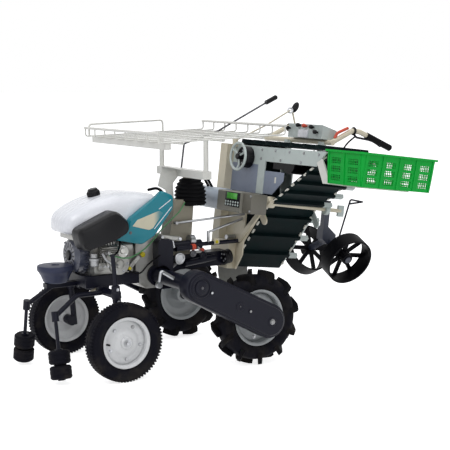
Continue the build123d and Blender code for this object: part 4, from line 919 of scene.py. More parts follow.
    def disc(self, node: str, size: WheelSize, place: Matrix, finish: Finish) -> None:
        """Rolled rim, dished disc, hub, wheel nuts and valve."""
        form = Form(f"{node}_looks")
        outer, lip, half = size.rim - 0.0003, size.rim + self.lip, size.half
        roll = [(lip - inward, half + out) for inward, out in self.lip_roll]
        edge = [(outer, half - 0.0005), *roll, (outer - 0.003, half + 0.0020),
                (outer - self.wall, half - 0.002)]
        band = [*edge, *[(radius, -height) for radius, height in reversed(edge)]]
        form.lathe(band, place, finish, 96)
        reach = outer - self.wall - size.hub
        face = [(size.hub + share * reach, height) for share, height in self.dish]
        back = [(radius, height - self.disc_thickness) for radius, height in reversed(face)]
        form.lathe([*face, *back], place, finish, 96)
        end = size.hub_length / 2
        form.lathe([(size.bore, -end), (size.hub, -end), (size.hub, end - 0.004), (size.hub - 0.004, end),
                    (size.bore, end)], place, finish, 48)
        turn = Matrix.Rotation(math.radians(self.nut_turn), 4, "Z")
        seat = Matrix.Translation((0.0, 0.0, self.nut_seat)) @ turn
        bolt_ring(form, place @ seat, size.nuts, size.nut_ring, size.nut)
        well = outer - self.wall
        stem = [place @ Vector((well - inward, 0.0, half * share)) for inward, share in self.stem]
        form.tube(stem, self.stem_radius, BLACK_PLASTIC)
        form.make(body_of(node), (node,))


@dataclass
class GuideRollers:
    """Grooved rubber rollers that run along the ridge in front of the front wheels."""

    radius: float = 0.052
    height: float = 0.064
    gap: float = 0.008
    neck: float = 0.030
    bore: float = 0.00905
    edge: float = 0.008
    groove: float = 0.0016
    grooves: int = 2
    # half width of a groove at the surface and at its floor
    groove_half: Pair = (0.003, 0.001)

    def build(self) -> None:
        """Make the roller pair of each side."""
        for name, _ in SIDES:
            joint = next(j for j in frame["joints"] if j["name"] == f"guide_rollers_{name}_spin")
            place = facing(Vector(joint["pos_m"]), joint["axis"])
            form = Form(f"guide_rollers_{name}_looks")
            form.lathe(self.outline(), place, TYRE_RUBBER, 64)
            form.make(body_of(f"guide_rollers_{name}"), (f"guide_rollers_{name}",))

    def outline(self) -> list[Pair]:
        """Closed outline of the pair, from the lower end up and back along the bore."""
        points = []
        wide, narrow = self.groove_half
        shoulder, floor = self.radius - self.edge, self.radius - self.groove
        for start in (-self.gap / 2 - self.height, self.gap / 2):
            points += [(self.neck, start), (shoulder, start), (self.radius, start + self.edge)]
            for index in range(self.grooves):
                middle = start + self.height * (index + 1) / (self.grooves + 1)
                points += [(self.radius, middle - wide), (floor, middle - narrow),
                           (floor, middle + narrow), (self.radius, middle + wide)]
            points += [(self.radius, start + self.height - self.edge), (shoulder, start + self.height),
                       (self.neck, start + self.height)]
        top = self.gap / 2 + self.height
        return [(self.bore, -top), *points, (self.bore, top)]


@dataclass
class Hood:
    """White hood with its fuel cap, the teal cowl with its trim, and the cover of the air cleaner."""

    base: float = 0.656
    # station along X, half width, underside and top above the base, corner radius
    sections: tuple[tuple[float, float, float, float, float], ...] = (
        (0.908, 0.040, 0.046, 0.080, 0.014), (0.902, 0.070, 0.040, 0.096, 0.024),
        (0.887, 0.098, 0.034, 0.114, 0.034), (0.860, 0.122, 0.028, 0.134, 0.046),
        (0.795, 0.142, 0.012, 0.168, 0.062), (0.700, 0.150, 0.0, 0.200, 0.078),
        (0.600, 0.150, 0.0, 0.216, 0.084), (0.510, 0.142, 0.024, 0.212, 0.072),
        (0.420, 0.130, 0.060, 0.200, 0.060))
    between: int = 5
    corner_steps: int = 9
    crown: float = 0.005
    cap_place: Triple = (0.697, 0.0, 0.851)
    cap_tilt: float = math.radians(14.0)
    # radius and height of the cap's outline
    cap: Outline = (
        (0.0, -0.030), (0.029, -0.030), (0.029, 0.006), (0.0315, 0.009), (0.0315, 0.030), (0.0285, 0.034),
        (0.026, 0.035), (0.025, 0.041), (0.022, 0.044), (0.0, 0.045))
    cap_ribs: int = 24
    cap_rib: Triple = (0.003, 0.003, 0.019)
    cap_rib_rise: float = 0.0195
    flank: float = 0.1835
    inset: Outline = (
        (0.583, 0.718), (0.555, 0.747), (0.433, 0.785), (0.413, 0.772), (0.470, 0.701), (0.493, 0.693))
    stripes: tuple[tuple[Pair, Pair], ...] = (
        ((0.435, 0.792), (0.367, 0.836)), ((0.462, 0.696), (0.364, 0.800)))
    stripe_width: float = 0.004
    cowl_bolt: Pair = (0.594, 0.686)
    strap: Outline = ((0.477, 0.887), (0.421, 0.896), (0.382, 0.857))
    strap_y: float = 0.150
    strap_radius: float = 0.007
    inset_rise: float = 0.0025
    stripe_rise: float = 0.0015
    trim_sink: float = 0.0005
    # station along X and height above the base
    near_cowl: Outline = (
        (0.668, -0.002), (0.530, -0.034), (0.460, 0.004), (0.352, 0.136), (0.352, 0.200), (0.412, 0.226),
        (0.446, 0.196), (0.596, 0.096), (0.604, 0.046))
    far_cowl: Outline = (
        (0.668, -0.002), (0.530, -0.034), (0.460, 0.004), (0.352, 0.130), (0.352, 0.166), (0.420, 0.168),
        (0.596, 0.096), (0.604, 0.046))
    # station across the machine, and size of the outline there
    cowl_swell: Outline = ((0.1505, 1.0), (0.172, 1.0), (0.1805, 0.985), (0.184, 0.95))
    cowl_bend: float = 0.016
    # heights of the band above the base, its size along and across, and its station along X
    band: Pair = (0.136, 0.172)
    band_size: Pair = (0.040, 0.298)
    band_x: float = 0.380
    # station along X and height above the base
    cleaner: Outline = (
        (0.898, 0.066), (0.884, 0.002), (0.862, -0.038), (0.700, 0.006), (0.626, 0.046), (0.626, 0.092),
        (0.694, 0.154))
    # station across the machine, and size of the outline there
    cleaner_swell: Outline = (
        (0.152, 0.96), (0.156, 1.0), (0.222, 1.0), (0.234, 0.985), (0.250, 0.925), (0.256, 0.895),
        (0.258, 0.86))
    cleaner_bend: float = 0.034
    cleaner_knob: Triple = (0.862, 0.252, 0.650)
    cleaner_dome: Dome = Dome(0.013, -0.012, 0.001, 0.010, 0.005, 0.006)
    # station along X, across and height above the base
    duct: Triple = (0.780, 0.135, 0.050)
    duct_size: Triple = (0.130, 0.050, 0.060)
    bracket: Triple = (0.836, 0.040, 0.674)
    bracket_size: Triple = (0.062, 0.160, 0.026)

    def build(self) -> None:
        """Make the hood, its cap, the cowl with its trim and the air cleaner."""
        self.shell()
        self.fuel_cap()
        self.cowl()
        self.trim()
        self.air_cleaner()

    def shell(self) -> None:
        """Smooth hood through the sections."""
        form = Form("hood_shell")
        rings = [self.ring(*row) for row in self.spline()]
        form.skin(rings, HOOD_WHITE)
        form.make(CHASSIS, ("hood_top",), 0.9)

    def spline(self) -> list[tuple[float, ...]]:
        """Rows between the sections, on a smooth curve through each column."""
        rows = []
        last = len(self.sections) - 1
        for index in range(last):
            near = [self.sections[min(max(index + step, 0), last)] for step in (-1, 0, 1, 2)]
            for part in range(self.between):
                rows.append(tuple(curve(part / self.between, *column) for column in zip(*near)))
        return rows + [self.sections[-1]]

    def ring(self, x: float, half: float, low: float, high: float, corner: float) -> list[Vector]:
        """Rounded outline of one section, with a slight crown on its top."""
        points = []
        limit = min(corner, (high - low) / 2 - 0.001, half - 0.001)
        for side, top, start in ((1, 1, 0), (-1, 1, 90), (-1, -1, 180), (1, -1, 270)):
            middle = (side * (half - limit), high - limit if top > 0 else low + limit)
            points += arc(limit, middle, start, start + 90, self.corner_steps)
        return [spot(x, y, self.base + z + self.crown * (1 - (y / half) ** 2) * (z > (low + high) / 2))
                for y, z in points]

    def fuel_cap(self) -> None:
        """Two-step cap with a ring of grip ribs."""
        form = Form("fuel_cap_looks")
        place = spot_at(*self.cap_place) @ Matrix.Rotation(self.cap_tilt, 4, "Y")
        form.lathe(self.cap, place, BLACK_PLASTIC, 48)
        radius = max(point[0] for point in self.cap)
        rib = Form("rib")
        rib.block(self.cap_rib, Matrix.Translation((radius, 0.0, self.cap_rib_rise)), BLACK_PLASTIC, 0.0008)
        Pattern(Layout.RING, self.cap_ribs).fill(form, rib, place, BLACK_PLASTIC)
        form.make(CHASSIS, ("fuel_cap",))

    def cowl(self) -> None:
        """Teal flank panels with soft edges, the right one lower at its rear, and the band between them."""
        form = Form("cowl_looks")
        for outline, side in ((self.near_cowl, 1.0), (self.far_cowl, -1.0)):
            corners = ring_route([(x, self.base + rise) for x, rise in outline], self.cowl_bend, 4)
            form.skin(self.swollen(corners, self.cowl_swell, side), HOOD_TEAL)
        low, high = (self.base + rise for rise in self.band)
        middle = spot_at(self.band_x, 0.0, (low + high) / 2)
        form.block((*self.band_size, high - low), middle, HOOD_TEAL, 0.008)
        form.make(CHASSIS, ("hood_cowl",), 0.6)

    def swollen(self, corners: Sequence[Vector], swell: Outline, side: float) -> list[list[Vector]]:
        """Rings of an outline at stations across the machine.

        Args:
            corners: The outline, along the machine and up.
            swell: Each station across the machine, with the outline's size there.
            side: Plus one for the left of the machine, minus one for its right.

        Returns:
            The rings, in the frame of the part.
        """
        centre = sum(corners, Vector((0.0, 0.0, 0.0))) / len(corners)
        rings = []
        for y, share in swell:
            ring = [centre + (point - centre) * share for point in corners]
            rings.append([spot(point.x, side * y, point.y) for point in ring])
        return rings

    def trim(self) -> None:
        """Cream insets, white stripes and bolts on both flanks, and the rubber strap."""
        form = Form("cowl_trim")
        for _, side in SIDES:
            raised = (0.0, side * self.inset_rise, 0.0)
            face = side * (self.flank - self.trim_sink)
            form.plate([spot(x, face, z) for x, z in self.inset], raised, HOOD_CREAM)
            for start, end in self.stripes:
                run = Vector((end[0] - start[0], end[1] - start[1])).normalized() * self.stripe_width / 2
                edge = [(start[0] - run.y, start[1] + run.x), (end[0] - run.y, end[1] + run.x),
                        (end[0] + run.y, end[1] - run.x), (start[0] + run.y, start[1] - run.x)]
                depth = (0.0, side * self.stripe_rise, 0.0)
                form.plate([spot(x, face, z) for x, z in edge], depth, HOOD_WHITE, 0.0004)
            x, z = self.cowl_bolt
            bolt_row(form, spot(x, face, z), spot(x - 0.002, face, z), (0.0, side, 0.0), 1, 0.006, DARK_STEEL)
        strap = rounded([spot(x, self.strap_y, z) for x, z in self.strap], 0.03)
        form.tube(strap, self.strap_radius, GRIP_RUBBER)
        form.make()

    def air_cleaner(self) -> None:
        """Black cover with swollen edges, its duct, its knob and the bracket under the hood's nose."""
        form = Form("air_cleaner_looks")
        outline = ring_route([(x, self.base + rise) for x, rise in self.cleaner], self.cleaner_bend)
        form.skin(self.swollen(outline, self.cleaner_swell, 1.0), BLACK_PLASTIC)
        x, y, rise = self.duct
        form.block(self.duct_size, spot_at(x, y, self.base + rise), BLACK_PLASTIC)
        knob = facing(spot(*self.cleaner_knob), LEFT)
        form.lathe(self.cleaner_dome.outline(), knob, BLACK_PLASTIC, 36)
        form.block(self.bracket_size, spot_at(*self.bracket), CAST_ALLOY, 0.004)
        form.make(CHASSIS, ("air_cleaner_cover",), 0.7)


@dataclass
class Engine:
    """Fittings of the engine, the front axle with its legs, and the front weight."""

    recoil_face: float = 0.840
    recoil_z: float = 0.574
    recoil_sink: float = 0.0015
    recoil_slots: int = 16
    slot_ring: float = 0.050
    slot_size: Triple = (0.026, 0.006, 0.005)
    recoil_cap: Dome = Dome(0.026, -0.002, 0.004, 0.020, 0.010, 0.012)
    cap_bolts: Bolts = (4, 0.018, 0.0035)
    cap_bolt_rise: float = 0.001
    shroud_back: float = 0.080
    shroud_fins: int = 28
    shroud_ring: float = 0.090
    shroud_fin: Triple = (0.016, 0.004, 0.060)
    cover_place: Triple = (0.640, 0.154, 0.532)
    cover_bolts: Bolts = (6, 0.042, 0.005)
    cover_cap: Dome = Dome(0.024, -0.002, 0.003, 0.018, 0.008, 0.009)
    # station along X, across and height
    fuel_line: Cord = Cord(((0.700, 0.168, 0.580), (0.672, 0.190, 0.590), (0.650, 0.186, 0.630),
                            (0.640, 0.150, 0.668)), 0.0045, 0.03, GRIP_RUBBER)
    throttle_cable: Cord = Cord(((0.712, 0.180, 0.586), (0.620, 0.205, 0.560), (0.500, 0.170, 0.600),
                                 (0.380, 0.120, 0.690), (0.250, 0.070, 0.760), (0.215, 0.055, 0.800)),
                                0.0035, 0.08, CABLE_GREEN)
    earth_lead: Cord = Cord(((0.600, 0.150, 0.500), (0.540, 0.170, 0.470), (0.480, 0.150, 0.520),
                             (0.420, 0.165, 0.560)), 0.004, 0.05, GRIP_RUBBER)
    breather: Cord = Cord(((0.742, 0.176, 0.596), (0.730, 0.196, 0.560), (0.690, 0.190, 0.536),
                           (0.655, 0.160, 0.530)), 0.0065, 0.02, BARE_STEEL, 12)
    # place and radius of each plug, and the heights of their foot, shoulder, crown edge and top
    plugs: tuple[tuple[Triple, float], ...] = (((0.486, 0.100, 0.560), 0.014), ((0.584, 0.148, 0.506), 0.009))
    plug_heights: tuple[float, float, float, float] = (-0.010, 0.004, 0.008, 0.009)
    plug_crown: float = 0.8
    tie_rod: Route = ((0.791, 0.100, 0.392), (0.663, 0.100, 0.453))
    tie_rod_radius: float = 0.006
    head_place: Triple = (0.700, 0.128, 0.604)
    head_size: Triple = (0.088, 0.070, 0.072)
    head_lean: float = math.radians(-24.0)
    head_fins: int = 6
    fin_over: Pair = (0.014, 0.016)
    fin_thickness: float = 0.0035
    fin_pitch: float = 0.011
    fin_start: float = -0.028
    spark_seat: Pair = (0.012, 0.004)
    spark_face: Triple = (0.0, 1.0, 0.1)
    # radius and height of turned pieces
    spark_plug: Outline = ((0.0, -0.004), (0.013, -0.004), (0.013, 0.010), (0.009, 0.013), (0.009, 0.026),
                           (0.0, 0.028))
    carburettor_place: Triple = (0.770, 0.142, 0.560)
    carburettor: Outline = (
        (0.0, -0.030), (0.016, -0.030), (0.021, -0.024), (0.021, -0.002), (0.026, 0.0), (0.026, 0.010),
        (0.018, 0.014), (0.018, 0.034), (0.0, 0.036))
    side_case_place: Triple = (0.724, 0.132, 0.528)
    side_case: Triple = (0.060, 0.050, 0.040)
    side_case_bolts: Route = ((0.704, 0.157, 0.528), (0.744, 0.157, 0.528))
    starter_place: Triple = (0.622, 0.146, 0.592)
    starter_face: Triple = (0.2, 1.0, 0.3)
    starter: Outline = (
        (0.0, -0.030), (0.030, -0.030), (0.034, -0.026), (0.034, 0.004), (0.030, 0.010), (0.014, 0.012),
        (0.012, 0.018), (0.0, 0.019))
    starter_bolts: Bolts = (3, 0.023, 0.004)
    starter_bolt_rise: float = 0.009
    leg_in: float = 0.0785
    leg_back: float = 0.020
    leg_lean: float = 0.085
    leg_length: float = 0.404
    leg_below: float = 0.024
    leg_radii: Pair = (0.0150, 0.0105)
    leg_cap: Dome = Dome(0.0125, 0.0, 0.006, 0.010, 0.009, 0.009)
    clamp_rise: float = 0.214
    clamp: Outline = (
        (0.0, -0.046), (0.018, -0.046), (0.021, -0.043), (0.021, -0.018), (0.024, -0.014), (0.024, 0.014),
        (0.021, 0.018), (0.021, 0.043), (0.018, 0.046), (0.0, 0.046))
    clamp_bolts: Pair = (0.021, 0.030)
    # radius and station along the stub axle, from the leg and then from the hub's middle
    stub_root: Outline = ((0.0, -0.020), (0.026, -0.020), (0.026, 0.012))
    stub_tip: Outline = ((0.024, -0.037), (0.011, -0.036), (0.011, 0.036), (0.0, 0.036))
    washer: Outline = ((0.0, 0.0355), (0.018, 0.0355), (0.018, 0.039), (0.0, 0.039))
    axle_nut: float = 0.0105
    axle_nut_out: float = 0.038
    axle_radius: float = 0.020
    seat_y: Pair = (-0.11, 0.11)
    seat_size: Triple = (0.060, 0.044, 0.046)
    seat_rise: float = 0.004
    seat_bolts: Pair = (-0.012, 0.012)
    weight_x: float = 0.912
    weight_foot: float = 0.445
    # radius and height of the weight's outline
    weight: Outline = (
        (0.0, 0.0), (0.046, 0.0), (0.056, 0.003), (0.061, 0.009), (0.072, 0.036), (0.082, 0.054),
        (0.088, 0.060), (0.090, 0.066), (0.090, 0.080), (0.087, 0.086), (0.083, 0.087), (0.022, 0.087),
        (0.020, 0.082), (0.0, 0.082))

    def build(self) -> None:
        """Make the engine's fittings, the front axle and the weight."""
        self.recoil()
        self.fittings()
        self.cylinder()
        self.front_axle()
        self.front_weight()

    def recoil(self) -> None:
        """Ring of cooling slots, a centre cap and its bolts on the recoil cover."""
        form = Form("recoil_grille")
        place = facing(spot(self.recoil_face - self.recoil_sink, 0.0, self.recoil_z), AHEAD)
        slot = Form("slot")
        slot.block(self.slot_size, Matrix.Translation((self.slot_ring, 0.0, 0.0)), BLACK_PLASTIC, 0.0012)
        Pattern(Layout.RING, self.recoil_slots).fill(form, slot, place, BLACK_PLASTIC)
        form.lathe(self.recoil_cap.outline(), place, BLACK_PLASTIC, 40)
        bolt_ring(form, lifted(place, self.cap_bolt_rise), *self.cap_bolts)
        form.make()

    def fittings(self) -> None:
        """Side cover's cap and bolts, cords, plugs, tie rod and the fins of the shroud."""
        form = Form("engine_fittings")
        cover = facing(spot(*self.cover_place), LEFT)
        bolt_ring(form, cover, *self.cover_bolts)
        form.lathe(self.cover_cap.outline(), cover, CAST_ALLOY, 40)
        for cord in (self.fuel_line, self.throttle_cable, self.earth_lead):
            cord.lay(form, spot)
        low, shoulder, edge, top = self.plug_heights
        for place, radius in self.plugs:
            plug = Dome(radius, low, shoulder, radius * self.plug_crown, edge, top)
            form.lathe(plug.outline(), facing(spot(*place), LEFT), PIN_YELLOW, 28)
        form.tube([spot(*point) for point in self.tie_rod], self.tie_rod_radius, BEIGE_PAINT)
        shroud = facing(spot(self.recoil_face - self.shroud_back, 0.0, self.recoil_z), AHEAD)
        fin = Form("fin")
        fin.block(self.shroud_fin, Matrix.Translation((self.shroud_ring, 0.0, 0.0)), RECOIL_BLUE, 0.001)
        Pattern(Layout.RING, self.shroud_fins).fill(form, fin, shroud, RECOIL_BLUE)
        form.make()

    def cylinder(self) -> None:
        """Finned head with its spark plug, breather pipe, carburettor and starter housing, on the left."""
        form = Form("cylinder_head")
        middle = spot_at(*self.head_place) @ Matrix.Rotation(self.head_lean, 4, "X")
        form.block(self.head_size, middle, CAST_ALLOY, 0.006)
        length, width, _ = self.head_size
        fin = Form("fin")
        fin.block((length + self.fin_over[0], width + self.fin_over[1], self.fin_thickness),
                  Matrix.Identity(4), CAST_ALLOY, 0.001)
        row = Pattern(Layout.ROW, self.head_fins, pitch=(0.0, 0.0, self.fin_pitch))
        row.fill(form, fin, lifted(middle, self.fin_start), CAST_ALLOY)
        along, rise = self.spark_seat
        plug = facing(middle @ Vector((along, width / 2, rise)), self.spark_face)
        form.lathe(self.spark_plug, plug, BARE_STEEL, 24)
        self.breather.lay(form, spot)
        form.lathe(self.carburettor, spot_at(*self.carburettor_place), BARE_STEEL, 36)
        form.block(self.side_case, spot_at(*self.side_case_place), CAST_ALLOY, 0.006)
        start, end = (spot(*point) for point in self.side_case_bolts)
        bolt_row(form, start, end, LEFT, 3, 0.005)
        shell = facing(spot(*self.starter_place), self.starter_face)
        form.lathe(self.starter, shell, CAST_ALLOY, 44)
        bolt_ring(form, lifted(shell, self.starter_bolt_rise), *self.starter_bolts)
        form.make()

    def front_axle(self) -> None:
        """Round cross tube with a clamp at each end, and slim leaning legs with their stub axles."""
        axle, legs = Form("front_axle_looks"), Form("front_legs_looks")
        lean = Vector((self.leg_lean, 0.0, 1.0)).normalized()
        stub_outline = [*self.stub_root, *[(radius, self.leg_in + along) for radius, along in self.stub_tip]]
        ends = []
        for name, side in SIDES:
            centre = joint_place(f"front_wheel_{name}_spin")
            outward = Vector((0.0, side, 0.0))
            foot = centre - Vector((self.leg_back, side * self.leg_in, 0.0))
            clamp = foot + lean * self.clamp_rise
            ends.append(clamp)
            axle.lathe(self.clamp, facing(clamp, lean), BLACK_PAINT, 40)
            out, reach = outward * self.clamp_bolts[0], lean * self.clamp_bolts[1]
            bolt_row(axle, clamp + out - reach, clamp + out + reach, outward, 2, 0.0055)
            top = foot + lean * self.leg_length
            legs.tube([foot - lean * self.leg_below, clamp], self.leg_radii[0], BLACK_PAINT)
            legs.tube([clamp, top], self.leg_radii[1], BLACK_PAINT)
            legs.lathe(self.leg_cap.outline(), facing(top, lean), BLACK_PAINT, 28)
            stub = facing(centre - outward * self.leg_in, outward)
            legs.lathe(stub_outline, stub, BLACK_PAINT, 40)
            legs.lathe(self.washer, lifted(stub, self.leg_in), BARE_STEEL, 36)
            nut = centre + outward * self.axle_nut_out
            bolt_row(legs, nut, nut, outward, 1, self.axle_nut)
        axle.tube(ends, self.axle_radius, BLACK_PAINT, 24)
        left, right = ends
        for y in self.seat_y:
            seat = left.lerp(right, (left.y - (ORIGIN.y + y)) / (left.y - right.y))
            raised = Matrix.Translation(seat + Vector((0.0, 0.0, self.seat_rise)))
            axle.block(self.seat_size, raised, BLACK_PAINT, 0.004)
            start, end = (seat + Vector((self.seat_size[0] / 2, across, 0.0)) for across in self.seat_bolts)
            bolt_row(axle, start, end, AHEAD, 2, 0.006)
        axle.make(CHASSIS, ("front_axle",))
        legs.make(CHASSIS, ("front_legs",))

    def front_weight(self) -> None:
        """Cast bowl with a smooth belly."""
        form = Form("front_weight_looks")
        place = spot_at(self.weight_x, 0.0, self.weight_foot)
        form.lathe(self.weight, place, WEIGHT_GREY, 72)
        form.make(CHASSIS, ("front_weight",))


@dataclass
class RunningGear:
    """Shells and bolts of the swing arms, the crank lever, the linkage, and the boot with its hoses."""

    pivot: Pair = (0.405, 0.450)
    axle: Pair = (0.0, 0.240)
    ends: Pair = (0.078, 0.085)
    # station across the machine, and inset of the outline there
    shell: Outline = (
        (0.4605, 0.004), (0.464, 0.0), (0.518, 0.0), (0.5255, 0.003), (0.529, 0.009), (0.529, 0.014),
        (0.5335, 0.0145), (0.537, 0.018))
    # radius and height of the pivot's cap
    pivot_cap: Outline = (
        (0.0, -0.003), (0.052, -0.003), (0.052, 0.002), (0.049, 0.005), (0.044, 0.005), (0.042, 0.002),
        (0.036, 0.002), (0.034, 0.007), (0.030, 0.009), (0.0, 0.009))
    # share of the way from pivot to axle, boss radius, bolt radius, finish of the bolt
    bosses: tuple[tuple[float, float, float, Finish], ...] = (
        (0.0, 0.014, 0.007, DARK_STEEL), (0.144, 0.011, 0.0065, BARE_STEEL), (0.54, 0.024, 0.004, DARK_STEEL),
        (0.684, 0.011, 0.0065, BARE_STEEL), (1.0, 0.024, 0.012, BARE_STEEL))
    # share of the boss radius, and height
    boss: Outline = ((1.0, -0.003), (1.0, 0.001), (0.9, 0.003), (0.6, 0.003), (0.5, 0.001))
    crank: Route = ((0.437, 0.330, 0.468), (0.507, 0.330, 0.511), (0.519, 0.330, 0.444))
    crank_radius: float = 0.009
    crank_bend: float = 0.014
    crank_end: Outline = ((0.0, 0.0), (0.015, 0.0), (0.016, 0.003), (0.016, 0.021), (0.015, 0.024),
                          (0.0, 0.024))
    clevis: Route = ((0.392, 0.128, 0.644), (0.290, 0.128, 0.628))
    clevis_section: Pair = (0.024, 0.018)
    pin: Dome = Dome(0.009, 0.0, 0.006, 0.007, 0.008, 0.008)
    pin_out: float = 0.006
    # start, end, radius and finish of each rod or sleeve
    rods: tuple[tuple[Triple, Triple, float, Finish], ...] = (
        ((0.330, 0.120, 0.636), (0.318, 0.120, 0.583), 0.008, BARE_STEEL),
        ((0.306, 0.120, 0.576), (0.181, 0.110, 0.577), 0.014, BLACK_PAINT),
        ((0.212, 0.113, 0.577), (0.190, 0.111, 0.577), 0.0155, RED_PLASTIC),
        ((0.181, 0.110, 0.577), (0.096, 0.060, 0.540), 0.007, BARE_STEEL),
        ((0.150, 0.092, 0.564), (0.120, 0.074, 0.551), 0.0095, RED_PLASTIC),
        ((0.345, 0.130, 0.480), (0.225, 0.060, 0.530), 0.009, DARK_STEEL),
        ((0.230, 0.070, 0.487), (0.040, 0.060, 0.503), 0.017, BLACK_PAINT),
        ((0.205, 0.076, 0.606), (0.178, 0.076, 0.604), 0.030, BARE_STEEL),
        ((0.062, 0.082, 0.590), (0.034, 0.082, 0.590), 0.017, BEIGE_PAINT),
        ((-0.096, 0.040, 0.600), (-0.036, 0.052, 0.604), 0.012, BARE_STEEL))
    # middle, ring radius, bar radius and finish of each pulley or eye
    eyes: tuple[tuple[Triple, float, float, Finish], ...] = (
        ((0.280, 0.112, 0.525), 0.024, 0.007, BARE_STEEL), ((0.193, 0.100, 0.541), 0.013, 0.006, DARK_STEEL),
        ((0.050, 0.100, 0.590), 0.005, 0.004, PIN_YELLOW), ((0.120, 0.075, 0.520), 0.016, 0.006, BLACK_PAINT))
    pulley_place: Triple = (-0.046, 0.062, 0.504)
    pulley_face: Triple = (1.0, 0.0, -0.12)
    # radius and height of the foot pulley's outline
    pulley: Outline = (
        (0.0, -0.004), (0.036, -0.004), (0.038, 0.0), (0.038, 0.006), (0.032, 0.012), (0.032, 0.018),
        (0.038, 0.024), (0.038, 0.030), (0.034, 0.034), (0.0, 0.034))
    pulley_bolts: Bolts = (5, 0.020, 0.004)
    boot_place: Triple = (0.150, 0.0, 0.782)
    boot_radius: float = 0.084
    boot_height: float = 0.138
    boot_folds: int = 7
    boot_straight: float = 0.35
    boot_draw: float = 0.80
    fold_depth: float = 0.004
    hose: Outline = ((0.135, 0.880), (0.090, 0.935), (0.020, 0.925), (-0.020, 0.858))
    hose_y: Pair = (-0.060, -0.095)
    hose_radius: float = 0.0072
    hose_bend: float = 0.06
    console: Outline = (
        (0.300, 0.985), (0.212, 0.966), (0.205, 0.930), (0.236, 0.895), (0.232, 0.806), (0.262, 0.806),
        (0.282, 0.862), (0.325, 0.886))
    console_y: float = -0.030
    sheet: float = 0.004
    shelf: Pair = (0.110, 0.070)
    shelf_place: Triple = (0.255, -0.012, 0.975)
    shelf_tilt: float = math.radians(-12.0)

    def build(self) -> None:
        """Make the arms, the crank lever, the clevis, the linkage and the boot."""
        form = Form("arm_fittings")
        for _, side in SIDES:
            self.arm(form, side)
        crank = rounded([spot(*point) for point in self.crank], self.crank_bend)
        form.tube(crank, self.crank_radius, BARE_STEEL)
        end = facing(crank[-1] - Vector((0.0, self.crank_end[-1][1] / 2, 0.0)), LEFT)
        form.lathe(self.crank_end, end, BARE_STEEL, 32)
        start, stop = (spot(*point) for point in self.clevis)
        middle = facing((start + stop) / 2, stop - start)
        form.block((*self.clevis_section, (stop - start).length), middle, CAST_ALLOY, 0.004)
        for point in (start, stop):
            pin = facing(point + Vector((0.0, self.pin_out, 0.0)), LEFT)
            form.lathe(self.pin.outline(), pin, BARE_STEEL, 24)
        form.make()
        self.linkage()
        self.boot()

    def linkage(self) -> None:
        """Rods, sleeves and eyes between the drive and the planting unit, and the column's sheet bracket."""
        form = Form("linkage")
        for start, stop, radius, finish in self.rods:
            form.tube([spot(*start), spot(*stop)], radius, finish, 16)
        for middle, ring, bar, finish in self.eyes:
            place = facing(spot(*middle), LEFT)
            form.lathe(arc(bar, (ring, 0.0), 0.0, 360.0, 12)[:-1], place, finish, 40)
            web = bar * 0.5
            form.lathe([(0.0, -web), (ring, -web), (ring, web), (0.0, web)], place, finish, 40)
        pulley = facing(spot(*self.pulley_place), self.pulley_face)
        form.lathe(self.pulley, pulley, BLACK_PLASTIC, 44)
        bolt_ring(form, lifted(pulley, self.pulley[-1][1]), *self.pulley_bolts)
        form.plate([spot(x, self.console_y, z) for x, z in self.console], (0.0, self.sheet, 0.0), WIRE_WHITE)
        shelf = spot_at(*self.shelf_place) @ Matrix.Rotation(self.shelf_tilt, 4, "Y")
        form.block((*self.shelf, self.sheet), shelf, WIRE_WHITE, 0.001)
        form.make()

    def boot(self) -> None:
        """Folded rubber boot round the column's neck, and two hoses to the planting motor."""
        form = Form("boot_hoses_looks")
        outline = [(0.0, 0.0)]
        steps = self.boot_folds * 8
        for step in range(steps + 1):
            share = step / steps
            swell = math.sqrt(1.0 - (max(share - self.boot_straight, 0.0) / self.boot_draw) ** 2)
            fold = math.cos(share * self.boot_folds * 2 * math.pi)
            radius = self.boot_radius * swell - self.fold_depth - self.fold_depth * fold
            outline.append((radius, self.boot_height * share))
        outline.append((0.0, self.boot_height))
        form.lathe(outline, spot_at(*self.boot_place), GRIP_RUBBER, 64)
        for y in self.hose_y:
            route = rounded([spot(x, y, z) for x, z in self.hose], self.hose_bend)
            form.tube(route, self.hose_radius, GRIP_RUBBER)
        form.make(CHASSIS, ("boot_hoses",), 0.9)

    def arm(self, form: Form, side: float) -> None:
        """Cast shell of one arm with its pivot cap, bosses and bolts."""
        outward = (0.0, side, 0.0)
        rings = []
        for y, inset in self.shell:
            outline = hull(self.pivot, self.axle, (self.ends[0] - inset, self.ends[1] - inset))
            rings.append([spot(x, side * y, z) for x, z in outline])
        form.skin(rings, BLACK_PAINT)
        face = self.shell[-1][0]
        cap = facing(spot(self.pivot[0], side * face, self.pivot[1]), outward)
        form.lathe(self.pivot_cap, cap, BLACK_PAINT, 56)
        cap_rise = self.pivot_cap[-1][1]
        run = Vector((self.axle[0] - self.pivot[0], self.axle[1] - self.pivot[1]))
        for share, boss, size, finish in self.bosses:
            middle = Vector(self.pivot) + run * share
            out = side * (face + (cap_rise if share == 0 else 0.0))
            place = facing(spot(middle.x, out, middle.y), outward)
            ring = [(boss * part, height) for part, height in self.boss]
            form.lathe([(0.0, ring[0][1]), *ring, (0.0, ring[-1][1])], place, BLACK_PAINT, 36)
            bolt_row(form, place.translation, place.translation, outward, 1, size, finish)


